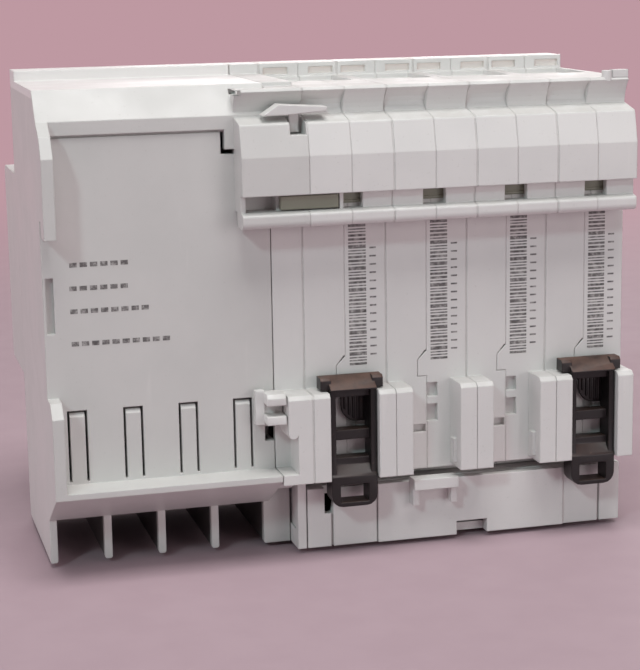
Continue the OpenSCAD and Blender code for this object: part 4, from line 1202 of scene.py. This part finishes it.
@dataclass
class Studio:
    """Floor, soft lamps, pale surroundings and the camera."""

    lamps: tuple[Lamp, ...] = (
        Lamp("key", (0.84, 0.93, 0.825), (0.0, 0.0, -0.005), 0.15, 4.4, (0.76, 1.0, 1.0)),
        Lamp("top", (0.0, 0.22, 0.83), (-0.01, -0.01, 0.0), 0.5, 6.6, (0.98, 0.975, 0.965)),
        Lamp("side_fill", (-0.5, 0.8, 0.14), (-0.02, 0.0, 0.0), 0.5, 1.9, (1.0, 0.98, 0.98)),
        Lamp("end_fill", (0.9, 0.0, 0.14), (0.06, -0.02, 0.0), 0.5, 2.5, (1.0, 0.88, 0.92)),
        Lamp("far_fill", (-0.4, -0.9, 0.14), (0.0, 0.0, 0.0), 0.6, 4.2, (1.0, 0.99, 0.98)),
    )
    world_colour: Colour = (0.93, 0.9, 0.9)
    world_strength: float = 0.15
    floor_r: float = 3.0
    floor_sides: int = 96
    floor_fade: Span = (0.22, 0.75)
    floor_shade: float = 0.012
    floor_grain: float = 90.0
    floor_rough: float = 0.85
    floor_z: float = -0.0568
    floor_colour: Colour = (0.68, 0.59, 0.622)
    surround: Colour = (0.745, 0.6, 0.635)
    eye: Point = (0.10465, 0.37107, 0.06804)
    yaw: float = 0.26112
    pitch: float = 0.19871
    roll: float = 0.01644
    focal: float = 1867.24
    frame_h: int = 670
    sensor: float = 36.0
    nearest: float = 0.01

    def build(self) -> None:
        """Sets up everything round the part."""
        self.camera()
        self.floor()
        for lamp in self.lamps:
            lamp.hang()
        self.world()
        bpy.context.scene.view_settings.view_transform = "Standard"

    def camera(self) -> None:
        """Places the camera that was fitted to the photograph."""
        level = math.cos(self.pitch)
        ahead = Vector((math.sin(self.yaw) * level, math.cos(self.yaw) * level, -math.sin(self.pitch)))
        right = Vector((math.cos(self.yaw), -math.sin(self.yaw), 0))
        down = ahead.cross(right)
        across = math.cos(self.roll) * right + math.sin(self.roll) * down
        below = math.cos(self.roll) * down - math.sin(self.roll) * right
        axes = [Vector((-v.x, -v.y, v.z)) for v in (across, -below, -ahead)]
        data = bpy.data.cameras.new("view")
        data.sensor_width = self.sensor
        data.lens = self.sensor * self.focal / self.frame_h
        data.clip_start = self.nearest
        obj = new_object("view", data)
        place = Matrix(axes).transposed().to_4x4()
        place.translation = self.eye
        obj.matrix_world = place
        bpy.context.scene.camera = obj

    def floor(self) -> None:
        """Lays a wide floor that fades into the surroundings."""
        work = bmesh.new()
        lower = Matrix.Translation((0, 0, self.floor_z))
        bmesh.ops.create_circle(
            work, cap_ends=True, segments=self.floor_sides, radius=self.floor_r, matrix=lower,
        )
        obj = new_piece("floor", work)
        made, sheet = new_material("floor_paper")
        place = sheet.place()
        far = sheet.add("VectorMath", operation="LENGTH")
        sheet.feed(far.inputs[0], place)
        paper = sheet.add("BsdfPrincipled")
        tone = sheet.ramp(sheet.noise(place, self.floor_grain, 5.0), 0.3, 0.7)
        darker = tuple(c - self.floor_shade for c in self.floor_colour)
        colour = sheet.mix(tone, linear(self.floor_colour), linear(darker))
        sheet.feed(paper.inputs["Base Color"], colour)
        sheet.feed(paper.inputs["Roughness"], self.floor_rough)
        glow = sheet.add("Emission")
        sheet.feed(glow.inputs["Color"], linear(self.surround))
        path = sheet.add("LightPath")
        seen = sheet.math("MAXIMUM", path.outputs["Is Camera Ray"], path.outputs["Is Glossy Ray"])
        fade = sheet.ramp(far.outputs["Value"], *self.floor_fade)
        join = sheet.add("MixShader")
        sheet.feed(join.inputs[0], sheet.math("MULTIPLY", fade, seen))
        sheet.feed(join.inputs[1], paper.outputs[0])
        sheet.feed(join.inputs[2], glow.outputs[0])
        sheet.feed(sheet.add("OutputMaterial").inputs[0], join.outputs[0])
        obj.data.materials.append(made)

    def world(self) -> None:
        """Sets a dim even light, and the pale tone that the camera sees behind the floor."""
        made = bpy.data.worlds.new("surroundings")
        bpy.context.scene.world = made
        made.use_nodes = True
        sheet = NodeSheet(made.node_tree)
        light, seen = sheet.add("Background"), sheet.add("Background")
        sheet.feed(light.inputs["Color"], linear(self.world_colour))
        sheet.feed(light.inputs["Strength"], self.world_strength)
        sheet.feed(seen.inputs["Color"], linear(self.surround))
        path = sheet.add("LightPath")
        view = sheet.math("MAXIMUM", path.outputs["Is Camera Ray"], path.outputs["Is Glossy Ray"])
        view = sheet.math("MAXIMUM", view, path.outputs["Is Transmission Ray"])
        join = sheet.add("MixShader")
        for index, value in enumerate((view, light.outputs[0], seen.outputs[0])):
            sheet.feed(join.inputs[index], value)
        sheet.feed(sheet.add("OutputWorld").inputs[0], join.outputs[0])


def main() -> None:
    """Builds the sub-assemblies in order, and the studio round them."""
    logging.basicConfig(level=logging.INFO, format="%(name)s: %(message)s")
    finishes = Finishes(SurfaceGroups())
    for assembly in (PoleRow(finishes), Switches(finishes), RailClips(finishes), AddOn(finishes), Studio()):
        assembly.build()
        LOG.info("built %s", type(assembly).__name__)


if __name__ == "__main__":
    main()
